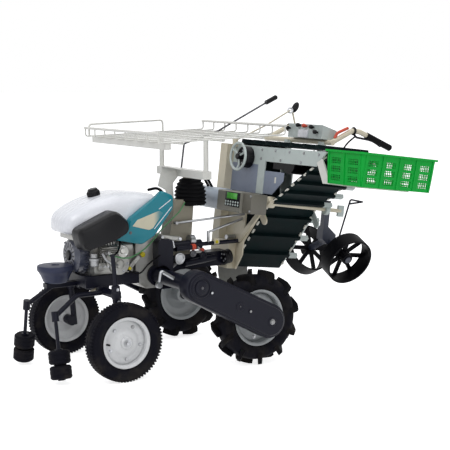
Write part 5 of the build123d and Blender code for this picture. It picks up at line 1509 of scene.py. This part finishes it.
@dataclass
class Rack:
    """Wire tray for seedlings: bent wires, fence rails, box bar and a far-side guard."""

    place: Triple = (0.190, 0.0, 1.130)
    tilt: float = math.radians(1.6)
    half_length: float = 0.360
    half_width: float = 0.400
    wire: float = 0.004
    wires: int = 8
    wire_z: float = 0.0098
    fence_z: float = 0.0538
    bend: float = 0.016
    rail: float = 0.007
    cross: float = 0.0055
    cross_x: Triple = (-0.230, 0.0, 0.230)
    box_x: float = 0.309
    box_z: float = -0.0095
    box_side: float = 0.030
    # start and end of the far-side guard along the tray
    guard: Pair = (-0.110, 0.345)
    guard_in: float = 0.007
    guard_bend: float = 0.018
    guard_z: float = 0.0718

    def tray(self) -> Matrix:
        """Frame of the tray."""
        return spot_at(*self.place) @ Matrix.Rotation(self.tilt, 4, "Y")

    def at(self, x: float, y: float, z: float) -> Vector:
        """Place in the frame of a point of the tray."""
        return self.tray() @ Vector((x, y, z))

    def build(self) -> None:
        """Make the tray."""
        form = Form("rack_wires")
        at, tray = self.at, self.tray()
        wire = Form("wire")
        ends = [(-self.half_length, self.fence_z), (-self.half_length, self.wire_z),
                (self.half_length, self.wire_z), (self.half_length, self.fence_z)]
        wire.tube(rounded([(x, -self.half_width, z) for x, z in ends], self.bend), self.wire, WIRE_WHITE, 10)
        pitch = 2 * self.half_width / (self.wires - 1)
        Pattern(Layout.ROW, self.wires, pitch=(0.0, pitch, 0.0)).fill(form, wire, tray, WIRE_WHITE)
        reach = self.half_width + self.rail
        for x in (-self.half_length, self.half_length):
            form.tube([at(x, -reach, self.fence_z), at(x, reach, self.fence_z)], self.rail, WIRE_WHITE, 14)
        for x in self.cross_x:
            form.tube([at(x, -self.half_width, 0.0), at(x, self.half_width, 0.0)], self.cross, WIRE_WHITE)
        form.block((self.box_side, 2 * self.half_width, self.box_side),
                   tray @ Matrix.Translation((self.box_x, 0.0, self.box_z)), WIRE_WHITE, 0.003)
        start, end = self.guard[0] + self.guard_in, self.guard[1] - self.guard_in
        hoop = [at(x, -self.half_width, z) for x, z in ((start, self.wire_z), (start, self.guard_z),
                                                        (end, self.guard_z), (end, self.wire_z))]
        form.tube(rounded(hoop, self.guard_bend), self.cross, WIRE_WHITE)
        form.make(CHASSIS, ("rack_tray",))


@dataclass
class Conveyor:
    """Slatted belt with its guide, and the gearbox, plate fittings, handwheel and display of the unit."""

    belt_edges: Pair = (-0.036, -0.346)
    dash: Triple = (0.010, 0.025, 0.0064)
    dash_pitch: float = 0.052
    dash_in: float = 0.0035
    dash_wobble: float = 0.02
    belt_half: float = 0.0025
    belt_thickness: float = 0.005
    # corners of the belt's outer line, across and height, and their rounding
    corners: Route = (
        (-0.100, 0.648, 0.040), (0.791, 0.648, 0.022), (0.290, 0.338, 0.060), (0.004, -0.025, 0.024))
    slat_pitch: float = 0.100
    # section of a slat, along the belt and out from it
    slat: Outline = ((-0.015, -0.001), (-0.010, 0.018), (0.010, 0.018), (0.015, -0.001))
    slat_end: float = 0.052
    slat_end_wall: float = 0.003
    slat_end_below: float = 0.545
    guide_bar: Route = ((-0.034, 0.321, 0.350), (-0.474, 0.332, 0.338))
    bar_radius: float = 0.0105
    bar_end: Triple = (0.040, 0.014, 0.060)
    stay: Route = ((-0.016, 0.085, 0.135), (-0.024, 0.316, 0.360))
    stay_section: Pair = (0.012, 0.030)
    knuckle: Triple = (0.052, 0.050, 0.040)
    knuckle_back: Triple = (0.012, 0.0, 0.004)
    # share of the way along the bar, and radius and height of the roller's outline
    roller_share: float = 0.76
    roller: Outline = ((0.0, 0.0), (0.026, 0.0), (0.028, 0.003), (0.028, 0.020), (0.026, 0.023), (0.0, 0.023))
    # low and high sides of the gearbox along the unit's three axes, and its bolts, across and height
    plain_box: Outline = ((0.031, 0.127), (0.304, 0.385), (0.292, 0.392))
    box_bolts: Outline = ((0.375, 0.305), (0.375, 0.380))
    plate_face: float = -0.022
    # start and end of each row of plate bolts, across and height, and their number
    plate_bolts: tuple[tuple[Pair, Pair, int], ...] = (
        ((-0.030, 0.618), (0.700, 0.618), 7), ((0.210, 0.572), (0.560, 0.572), 3))
    side_panel: Outline = ((0.246, 0.395), (0.330, 0.395), (0.420, 0.470), (0.420, 0.512), (0.246, 0.512))
    panel_back: float = -0.030
    panel_thickness: float = 0.004
    tab: Triple = (0.006, 0.010, 0.030)
    tab_place: Triple = (-0.026, 0.352, 0.470)
    wheel_place: Triple = (0.044, 0.092, 0.572)
    wheel_ring: float = 0.070
    wheel_bar: float = 0.007
    # radii and heights of the handwheel's hub at its shoulder and its top
    hub_radii: Pair = (0.016, 0.012)
    hub_heights: Pair = (0.006, 0.010)
    drum: float = 0.056
    drum_depth: float = 0.042
    # in from the drum's radius, and down from its front
    drum_edge: Outline = ((0.0, 0.010), (0.003, 0.003), (0.010, 0.0))
    drum_dish: float = 0.004
    drum_floor: float = 0.7
    drum_bolt_ring: float = 0.58
    spokes: int = 3
    # points of a spoke before it meets the rim
    spoke: Route = ((0.010, 0.0, -0.004), (0.040, 0.0, -0.010))
    spoke_radius: float = 0.0055
    display_face: float = 0.142
    bezel: tuple[float, float, float, float] = (0.2345, 0.3525, 0.136, 0.074)
    screen: tuple[float, float, float, float] = (0.2310, 0.3700, 0.094, 0.030)
    button_rows: int = 2
    button_columns: int = 6
    button: float = 0.0052
    button_rise: float = 0.014
    # shares of the bezel's width and height
    button_span: float = 0.84
    button_foot: float = 0.36

    def build(self) -> None:
        """Make the belt, its guide and the unit's fittings."""
        self.belt()
        self.slat_ends()
        self.guide()
        self.gearbox()
        self.dashes()
        self.bolts()
        self.handwheel()
        self.display()

    def sides(self) -> list[tuple[Vector, Vector]]:
        """Straight runs of the belt's outer line, from the top run round to the back run."""
        spots = [Vector((0.0, v, w)) for v, w, _ in self.corners]
        reaches = []
        for index, (_, _, radius) in enumerate(self.corners):
            before, after = spots[index - 1] - spots[index], spots[(index + 1) % len(spots)] - spots[index]
            reaches.append(radius / math.tan(before.angle(after) / 2))
        runs = []
        for index, start in enumerate(spots):
            onward = (index + 1) % len(spots)
            along = (spots[onward] - start).normalized()
            runs.append((start + along * reaches[index], spots[onward] - along * reaches[onward]))
        return runs

    def lying(self, start: Vector, along: Vector) -> Matrix:
        """Frame on the belt's outer line: X forward, Y along the run and Z out of the belt."""
        ahead = Vector(AHEAD)
        turn = Matrix((ahead, along, ahead.cross(along))).transposed().to_4x4()
        return UNIT @ Matrix.Translation(start) @ turn

    def belt(self) -> None:
        """Rubber loop with an inward bend, and hat-shaped slats along its straight runs."""
        form = Form("belt_looks")
        front, rear = self.belt_edges
        runs = self.sides()
        line = []
        for index, (start, end) in enumerate(runs):
            onward = (index + 1) % len(runs)
            corner = Vector((0.0, *self.corners[onward][:2]))
            line += [start, *rounded([end, corner, runs[onward][0]], 1.0, 10)]
        rings = []
        for index, point in enumerate(line):
            along = line[(index + 1) % len(line)] - line[index - 1]
            out = Vector(AHEAD).cross(along).normalized()
            inner = point - out * self.belt_thickness
            rings.append([unit_spot(front, *point.yz), unit_spot(rear, *point.yz),
                          unit_spot(rear, *inner.yz), unit_spot(front, *inner.yz)])
        form.skin(rings, BELT_RUBBER, True)
        for start, end in runs:
            count = int((end - start).length / self.slat_pitch)
            step = (end - start) / count
            slat = Form("slat")
            slat.skin([[Vector((u, y, z)) for y, z in self.slat] for u in (rear, front)], BELT_RUBBER)
            row = Pattern(Layout.ROW, count, pitch=(0.0, step.length, 0.0))
            place = self.lying(start + step / 2, step.normalized())
            row.fill(form, slat, place, BELT_RUBBER)
        form.make(CHASSIS, ("conveyor_belt",), 0.6)

    def slat_ends(self) -> None:
        """Open hat-shaped ends of the slats, behind the belt's rear edge on the two lower runs."""
        form = Form("slat_ends_looks")
        wall = self.slat_end_wall
        inner = [(y - math.copysign(wall, y), max(z - wall, 0.0)) for y, z in reversed(self.slat)]
        outline = [(y, max(z, 0.0)) for y, z in self.slat] + inner
        rear = self.belt_edges[1]
        for start, end in self.sides()[1:3]:
            count = int((end - start).length / self.slat_pitch)
            step = (end - start) / count
            kept = [index for index in range(count) if (start + step * (index + 0.5)).z < self.slat_end_below]
            hat = Form("hat")
            ends = (rear - self.slat_end, rear)
            hat.skin([[Vector((u, y, z)) for y, z in outline] for u in ends], PLATE_GREY)
            row = Pattern(Layout.ROW, len(kept), pitch=(0.0, step.length, 0.0))
            first = start + step * (kept[0] + 0.5)
            row.fill(form, hat, self.lying(first, step.normalized()), PLATE_GREY)
        form.make(CHASSIS, ("slat_ends",), 0.4)

    def guide(self) -> None:
        """Bar across the belt's bend on a diagonal stay, with its end roller."""
        form = Form("belt_guide_looks")
        first, last = (unit_spot(*point) for point in self.guide_bar)
        form.tube([first, last], self.bar_radius, BEIGE_PAINT, 20)
        foot, head = (Vector(point) for point in self.stay)
        along = (head - foot).normalized()
        thickness, width = self.stay_section
        size = (thickness, (head - foot).length, width)
        form.block(size, self.lying((foot + head) / 2, along), BEIGE_PAINT, 0.003)
        form.block(self.knuckle, self.lying(head - Vector(self.knuckle_back), along), BEIGE_PAINT, 0.006)
        place = facing(first.lerp(last, self.roller_share), last - first)
        form.lathe(self.roller, place, PLATE_GREY, 40)
        form.block(self.bar_end, Matrix.Translation(last) @ UNIT.to_3x3().to_4x4(), PLATE_GREY, 0.003)
        form.make(CHASSIS, ("belt_guide_bar",))

    def gearbox(self) -> None:
        """Plain gearbox with two bolts on its face."""
        form = Form("planting_gearbox_looks")
        size = tuple(high - low for low, high in self.plain_box)
        middle = unit_at(*[(low + high) / 2 for low, high in self.plain_box])
        form.block(size, middle, GEARBOX_GREY, 0.005)
        start, end = (unit_spot(self.plain_box[0][1], v, w) for v, w in self.box_bolts)
        bolt_row(form, start, end, UNIT_AHEAD, 2, 0.005)
        form.make(CHASSIS, ("planting_gearbox",))

    def dashes(self) -> None:
        """White dashes along both edges of the belt, a row on each lower run and the back run."""
        form = Form("belt_dashes")
        for edge, step in zip(self.belt_edges, (-1.0, 1.0)):
            for start, end in self.sides()[1:]:
                run = end - start
                count = int(run.length / self.dash_pitch) + 1
                piece = Form("dash")
                middle = Matrix.Translation((edge + step * self.dash_in, 0.0, self.belt_half))
                piece.block(self.dash, middle, DASH_WHITE, 0.0006)
                pitch = (0.0, run.length / (count - 1), 0.0)
                row = Pattern(Layout.ROW, count, pitch=pitch, wobble=self.dash_wobble)
                row.fill(form, piece, self.lying(start, run.normalized()), DASH_WHITE)
        form.make()

    def bolts(self) -> None:
        """Rows of bolts on the front plate, and the side panel with its pale tab."""
        form = Form("plate_bolts")
        for (v1, w1), (v2, w2), count in self.plate_bolts:
            start, end = unit_spot(self.plate_face, v1, w1), unit_spot(self.plate_face, v2, w2)
            bolt_row(form, start, end, UNIT_AHEAD, count, 0.0055)
        panel = [unit_spot(self.panel_back, v, w) for v, w in self.side_panel]
        form.plate(panel, tuple(UNIT_AHEAD * self.panel_thickness), PANEL_BLUE)
        form.block(self.tab, unit_at(*self.tab_place), DASH_WHITE, 0.001)
        form.make()

    def handwheel(self) -> None:
        """Round-rimmed handwheel with dished spokes in front of its dark drum."""
        form = Form("handwheel_looks")
        u, v, w = self.wheel_place
        place = unit_face(u, v, w)
        ring = arc(self.wheel_bar, (self.wheel_ring, 0.0), 0.0, 360.0, 14)[:-1]
        form.lathe(ring, place, PLATE_GREY, 64)
        spoke = Form("spoke")
        route = [Vector(point) for point in (*self.spoke, (self.wheel_ring, 0.0, 0.0))]
        spoke.tube(route, self.spoke_radius, PLATE_GREY, 10)
        Pattern(Layout.RING, self.spokes).fill(form, spoke, place, PLATE_GREY)
        back = self.plate_face - u
        (wide, narrow), (shoulder, top) = self.hub_radii, self.hub_heights
        form.lathe(Dome(wide, back, shoulder, narrow, top, top).outline(), place, BLACK_PLASTIC, 32)
        front = back + self.drum_depth
        floor = front - self.drum_dish
        edge = [(self.drum - inward, front - down) for inward, down in self.drum_edge]
        dish = [(self.drum * self.drum_floor, floor), (0.0, floor)]
        form.lathe([(0.0, back), (self.drum, back), *edge, *dish], place, BLACK_PLASTIC, 56)
        bolt_ring(form, lifted(place, floor), 6, self.drum * self.drum_bolt_ring, 0.004)
        form.make(CHASSIS, ("handwheel",))

    def display(self) -> None:
        """Dark bezel, green screen and two rows of buttons on the display box."""
        form = Form("display_face")
        for (v, w, width, height), depth, finish in ((self.bezel, 0.004, BLACK_PLASTIC),
                                                     (self.screen, 0.006, SCREEN_GREEN)):
            middle = unit_at(self.display_face + depth / 2 - 0.001, v, w)
            form.block((depth, width, height), middle, finish, 0.0012)
        button = Form("button")
        cap = Dome(self.button, 0.0, 0.002, self.button * 0.8, 0.003, 0.003)
        button.lathe(cap.outline(), Matrix.Identity(4), PLATE_GREY, 20)
        v, w, width, height = self.bezel
        place = unit_face(self.display_face + 0.003, v, w)
        across = place.inverted().to_3x3() @ (UNIT.to_3x3() @ Vector(LEFT))
        upward = place.inverted().to_3x3() @ (UNIT.to_3x3() @ Vector((0.0, 0.0, 1.0)))
        pitch = across * (width * self.button_span / (self.button_columns - 1))
        rise = upward * self.button_rise
        start = across * (-width * self.button_span / 2) + upward * (-height * self.button_foot)
        grid = Pattern(Layout.ROW, self.button_columns, pitch=tuple(pitch), rows=self.button_rows,
                       row_pitch=tuple(rise))
        grid.fill(form, button, place @ Matrix.Translation(start), PLATE_GREY)
        form.make()


@dataclass
class Crate:
    """Fine bars inside the crate's windows."""

    middle: Triple = (-0.201, 0.950, 0.490)
    length: float = 0.462
    width: float = 0.300
    height: float = 0.158
    lip: float = 0.010
    lean: float = math.radians(5.0)
    wall: float = 0.004
    bar: float = 0.0016
    pitch: float = 0.011
    low: float = 0.010
    high: float = 0.130
    corner: float = 0.016

    def drop(self) -> float:
        """How far a wall leans in from the rim to the floor."""
        return self.height * math.tan(self.lean)

    def wall_place(self, reach: float, height: float) -> float:
        """Distance of a wall's middle from the crate's axis, at a height above the floor."""
        return reach / 2 - self.lip - self.drop() * (1 - height / self.height) - self.wall / 2

    def build(self) -> None:
        """Make the bars of the four walls."""
        form = Form("crate_bars")
        # span along the wall, distance to the wall, turns about the crate's upright axis
        for span, reach, turns in ((self.length, self.width, (0, 180)), (self.width, self.length, (90, 270))):
            inside = span - 2 * (self.lip + self.drop() + self.corner)
            count = int(inside / self.pitch)
            foot, head = self.wall_place(reach, self.low), self.wall_place(reach, self.high)
            rise = Vector((0.0, head - foot, self.high - self.low))
            corner = Vector((-inside / 2, foot, self.low))
            rows = int(rise.length / self.pitch)
            # end of the bar from its corner, number of bars and step between them
            for end, number, step in ((rise, count, Vector((inside / (count - 1), 0.0, 0.0))),
                                      (Vector((inside, 0.0, 0.0)), rows, rise / (rows - 1))):
                for turn in turns:
                    place = unit_at(*self.middle) @ Matrix.Rotation(math.radians(turn), 4, "Z")
                    bar = Form("bar")
                    bar.tube([corner, corner + end], self.bar, CRATE_GREEN, 8)
                    row = Pattern(Layout.ROW, number, pitch=tuple(step))
                    row.fill(form, bar, place, CRATE_GREEN)
        form.make()


@dataclass
class HandleSet:
    """Hand levers and their cable, the control panel's knobs, the shift lever's grip and the panel lever."""

    side: float = 0.300
    red_lever: Outline = ((-0.410, 0.716), (-0.424, 0.745), (-0.491, 0.777))
    clutch_lever: Outline = ((-0.530, 0.757), (-0.548, 0.733), (-0.661, 0.726), (-0.722, 0.700))
    red_radius: float = 0.008
    clutch_radius: float = 0.006
    # radii of the clutch lever's ring, and its rise above the lever's end
    clutch_ring: Pair = (0.017, 0.006)
    clutch_ring_rise: float = 0.007
    # station along the unit, across and height
    cable: Cord = Cord(((-0.545, 0.300, 0.738), (-0.470, 0.322, 0.690), (-0.420, 0.330, 0.600),
                        (-0.380, 0.250, 0.560), (-0.372, 0.180, 0.640)), 0.0045, 0.06, GRIP_RUBBER)
    # across and height on the control panel, and whether the knob is red
    knobs: tuple[tuple[float, float, bool], ...] = (
        (0.077, 0.770, False), (0.132, 0.768, True), (-0.018, 0.752, False), (0.196, 0.764, False),
        (0.236, 0.738, False))
    # radius and height of a knob's outline
    knob: Outline = (
        (0.0, -0.004), (0.005, -0.004), (0.005, 0.010), (0.0105, 0.012), (0.0115, 0.016), (0.0115, 0.024),
        (0.009, 0.028), (0.0, 0.029))
    panel_face: float = -0.344
    switch_box: Triple = (0.012, 0.084, 0.042)
    # out from the panel's face, across and height
    switch_place: Triple = (0.004, 0.112, 0.727)
    panel_knob: tuple[Triple, Triple] = ((-0.496, 0.0, 1.244), (-0.531, 0.0, 1.298))
    thin_rod: Route = ((-0.128, 0.0, 1.104), (-0.326, 0.0, 1.181), (-0.480, 0.0, 1.256))
    stem: Route = ((-0.520, 0.0, 1.150), (-0.508, 0.0, 1.195), (-0.494, 0.0, 1.252))
    rod_radius: float = 0.0042
    stem_radius: float = 0.0050
    rod_foot: Triple = (0.020, 0.030, 0.044)
    rod_foot_down: float = 0.010
    # radii of the eye at the rod's end, and its facing
    eye: Pair = (0.013, 0.005)
    eye_face: Triple = (0.3, 1.0, 0.2)
    oval_radius: float = 0.0175
    oval_steps: int = 12
    gear_y: float = -0.120
    gear_run: Pair = (-0.914, 0.405)
    gear_knob: float = 0.011
    gear_length: float = 0.078
    gear_grooves: int = 5

    def build(self) -> None:
        """Make the levers, knobs, cable and grip."""
        self.hand_levers()
        self.panel_knobs()
        self.long_levers()
        self.panel_lever()

    def hand_levers(self) -> None:
        """Red lever on top of the left handle, a clutch lever below each grip and a cable."""
        form = Form("hand_levers")
        red = [unit_spot(u, self.side, w) for u, w in self.red_lever]
        form.tube(rounded(red, 0.012), self.red_radius, RED_PLASTIC)
        for _, side in SIDES:
            lever = [unit_spot(u, side * self.side, w) for u, w in self.clutch_lever]
            form.tube(rounded(lever, 0.03), self.clutch_radius, BLACK_PAINT)
            u, w = self.clutch_lever[0]
            ring, bar = self.clutch_ring
            place = unit_face(u, side * self.side, w + self.clutch_ring_rise)
            form.lathe(arc(bar, (ring, 0.0), 0.0, 360.0, 10)[:-1], place, BLACK_PLASTIC, 28)
        self.cable.lay(form, unit_spot)
        form.make()

    def panel_knobs(self) -> None:
        """Round knobs on stems and a switch box, on the front of the control panel."""
        form = Form("panel_knobs")
        for v, w, red in self.knobs:
            finish = RED_PLASTIC if red else BLACK_PLASTIC
            form.lathe(self.knob, unit_face(self.panel_face, v, w), finish, 28)
        out, v, w = self.switch_place
        form.block(self.switch_box, unit_at(self.panel_face + out, v, w), HOOD_WHITE, 0.003)
        form.make()

    def long_levers(self) -> None:
        """Grip on the end of the shift lever."""
        form = Form("lever_grips")
        low, high = (Vector(corner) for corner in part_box("gear_lever"))
        along = Vector((self.gear_run[0], 0.0, self.gear_run[1])).normalized()
        tip = Vector((low.x + self.gear_knob * along.z, ORIGIN.y + self.gear_y,
                      high.z + self.gear_knob * along.x))
        grip = facing(tip - along * (self.gear_length - 0.004), along)
        radius = self.gear_knob + 0.002
        ends = [(0.0, 0.0), (radius - 0.003, 0.0), (radius, 0.004)]
        for index in range(self.gear_grooves):
            middle = self.gear_length * (index + 1) / (self.gear_grooves + 1)
            ends += [(radius, middle - 0.003), (radius - 0.0015, middle), (radius, middle + 0.003)]
        ends += [(radius, self.gear_length - 0.006), (radius - 0.005, self.gear_length),
                 (0.0, self.gear_length)]
        form.lathe(ends, grip, BLACK_PLASTIC, 32)
        form.make()

    def panel_lever(self) -> None:
        """Thin rod from the front plate to an eye under an oval knob, on a stem from the control panel."""
        form = Form("panel_lever_looks")
        form.tube([spot(*point) for point in self.thin_rod], self.rod_radius, BEIGE_PAINT)
        form.tube([spot(*point) for point in self.stem], self.stem_radius, BEIGE_PAINT)
        foot = spot(*self.thin_rod[0]) - Vector((0.0, 0.0, self.rod_foot_down))
        form.block(self.rod_foot, Matrix.Translation(foot), BEIGE_PAINT, 0.003)
        eye = facing(spot(*self.thin_rod[-1]), self.eye_face)
        ring, bar = self.eye
        form.lathe(arc(bar, (ring, 0.0), 0.0, 360.0, 10)[:-1], eye, BARE_STEEL, 32)
        start, end = (spot(*point) for point in self.panel_knob)
        length = (end - start).length
        turns = [math.pi * step / self.oval_steps for step in range(1, self.oval_steps)]
        oval = [(self.oval_radius * math.sin(turn) + 0.0001, length * (1 - math.cos(turn)) / 2)
                for turn in turns]
        form.lathe([(0.0, 0.0), *oval, (0.0, length)], facing(start, end - start), BLACK_PLASTIC, 32)
        form.make(CHASSIS, ("panel_lever",))


@dataclass(frozen=True)
class Lamp:
    """A square soft lamp with its place, aim, side and power."""

    name: str
    place: Triple
    aim: Triple
    side: float
    power: float


@dataclass
class Studio:
    """Pale floor, soft lights and the camera at the photograph's viewing angle."""

    image_side: float = 450.0
    focal_pixels: float = 1173.35
    sensor: float = 36.0
    camera_place: Triple = (3.18897, 5.23105, 1.44136)
    camera_right: Triple = (-0.84913, 0.52818, -0.00368)
    camera_up: Triple = (-0.06963, -0.10503, 0.99203)
    floor_side: float = 240.0
    floor_colour: Colour = (0.86, 0.86, 0.86)
    floor_glow: Colour = (0.78, 0.78, 0.78)
    soft_lamps: tuple[Lamp, ...] = (
        Lamp("key", (3.2, 1.2, 3.4), (0.2, 0.1, 0.5), 2.2, 40.0),
        Lamp("fill", (0.4, 4.6, 2.2), (0.0, 0.3, 0.5), 2.2, 30.0),
        Lamp("top", (-0.6, 0.2, 4.2), (0.0, 0.1, 0.5), 3.0, 32.0))
    room_low: Colour = (0.20, 0.20, 0.21)
    room_high: Colour = (0.72, 0.73, 0.75)

    def build(self) -> None:
        """Make the camera, the floor, the lamps and the world."""
        self.camera()
        self.floor()
        self.lamps()
        self.world()
        bpy.context.scene.view_settings.view_transform = "Standard"

    def camera(self) -> None:
        """Camera fitted to the wheels' ellipses in the photograph."""
        data = bpy.data.cameras.new("camera")
        data.sensor_width = self.sensor
        data.lens = self.focal_pixels / self.image_side * self.sensor
        data.clip_end = 100.0
        right, up = Vector(self.camera_right).normalized(), Vector(self.camera_up).normalized()
        back = right.cross(up)
        turn = Matrix((right, up, back)).transposed().to_4x4()
        camera = bpy.data.objects.new("camera", data)
        camera.matrix_world = Matrix.Translation(ORIGIN + Vector(self.camera_place)) @ turn
        link(camera)
        bpy.context.scene.camera = camera

    def floor(self) -> None:
        """Pale floor that reads near white to the camera and keeps the shadow."""
        half = self.floor_side / 2
        mesh = bpy.data.meshes.new("floor")
        mesh.from_pydata([(-half, -half, 0), (half, -half, 0), (half, half, 0), (-half, half, 0)], [],
                         [(0, 1, 2, 3)])
        kit = ShaderKit("floor_pale")
        glow = kit.mix((0.0, 0.0, 0.0), self.floor_glow, self.seen(kit))
        kit.dress(Base_Color=self.floor_colour, Roughness=0.9, Emission_Color=glow, Emission_Strength=1.0)
        mesh.materials.append(kit.material)
        floor = bpy.data.objects.new("floor", mesh)
        link(floor)

    def seen(self, kit: NodeKit) -> Signal:
        """One for rays from the camera, by itself, in reflections or through glass."""
        rays = [kit.node("ShaderNodeLightPath", output=name)
                for name in ("Is Camera Ray", "Is Glossy Ray", "Is Transmission Ray")]
        return rays[0].largest(rays[1]).largest(rays[2])

    def lamps(self) -> None:
        """Large soft lamps: key from the camera's left, fill from its right and a top light."""
        for lamp in self.soft_lamps:
            data = bpy.data.lights.new(lamp.name, "AREA")
            data.size = lamp.side
            data.energy = lamp.power
            made = bpy.data.objects.new(lamp.name, data)
            made.location = Vector(lamp.place)
            made.rotation_mode = "QUATERNION"
            made.rotation_quaternion = (Vector(lamp.aim) - Vector(lamp.place)).to_track_quat("-Z", "Y")
            link(made)

    def world(self) -> None:
        """White to the camera and in reflections, and a plain soft level on the object."""
        world = bpy.data.worlds.new("studio")
        world.use_nodes = True
        kit = NodeKit(world.node_tree)
        heading = kit.node("ShaderNodeTexCoord", output="Generated")
        height = kit.node("ShaderNodeSeparateXYZ", None, {0: heading}, "Z")
        room = kit.node("ShaderNodeMix", {"data_type": "RGBA"},
                        {0: height.step(0.0, 0.9), 6: self.room_low, 7: self.room_high}, 2)
        plain = kit.node("ShaderNodeBackground", None, {"Color": room, "Strength": 1.0})
        white = kit.node("ShaderNodeBackground", None, {"Color": (1.0, 1.0, 1.0), "Strength": 1.0})
        both = kit.node("ShaderNodeMixShader", None, {0: self.seen(kit), 1: plain, 2: white})
        kit.node("ShaderNodeOutputWorld", None, {"Surface": both})
        bpy.context.scene.world = world


def paint_nodes() -> None:
    """Give each CAD node that shows its finish."""
    for finish, nodes in NODE_FINISHES:
        for node in nodes:
            data = frame["nodes"][node].data
            data.materials.clear()
            data.materials.append(finish.material())


def main() -> None:
    """Build and dress the machine, then the studio."""
    logging.basicConfig(level=logging.INFO, format="%(name)s: %(message)s")
    paint_nodes()
    for assembly in (GroundWheels(), GuideRollers(), Hood(), Engine(), RunningGear(), Rack(), Conveyor(),
                     Crate(), HandleSet()):
        assembly.build()
        LOG.info("%s built", type(assembly).__name__)
    Studio().build()


if __name__ == "__main__":
    main()
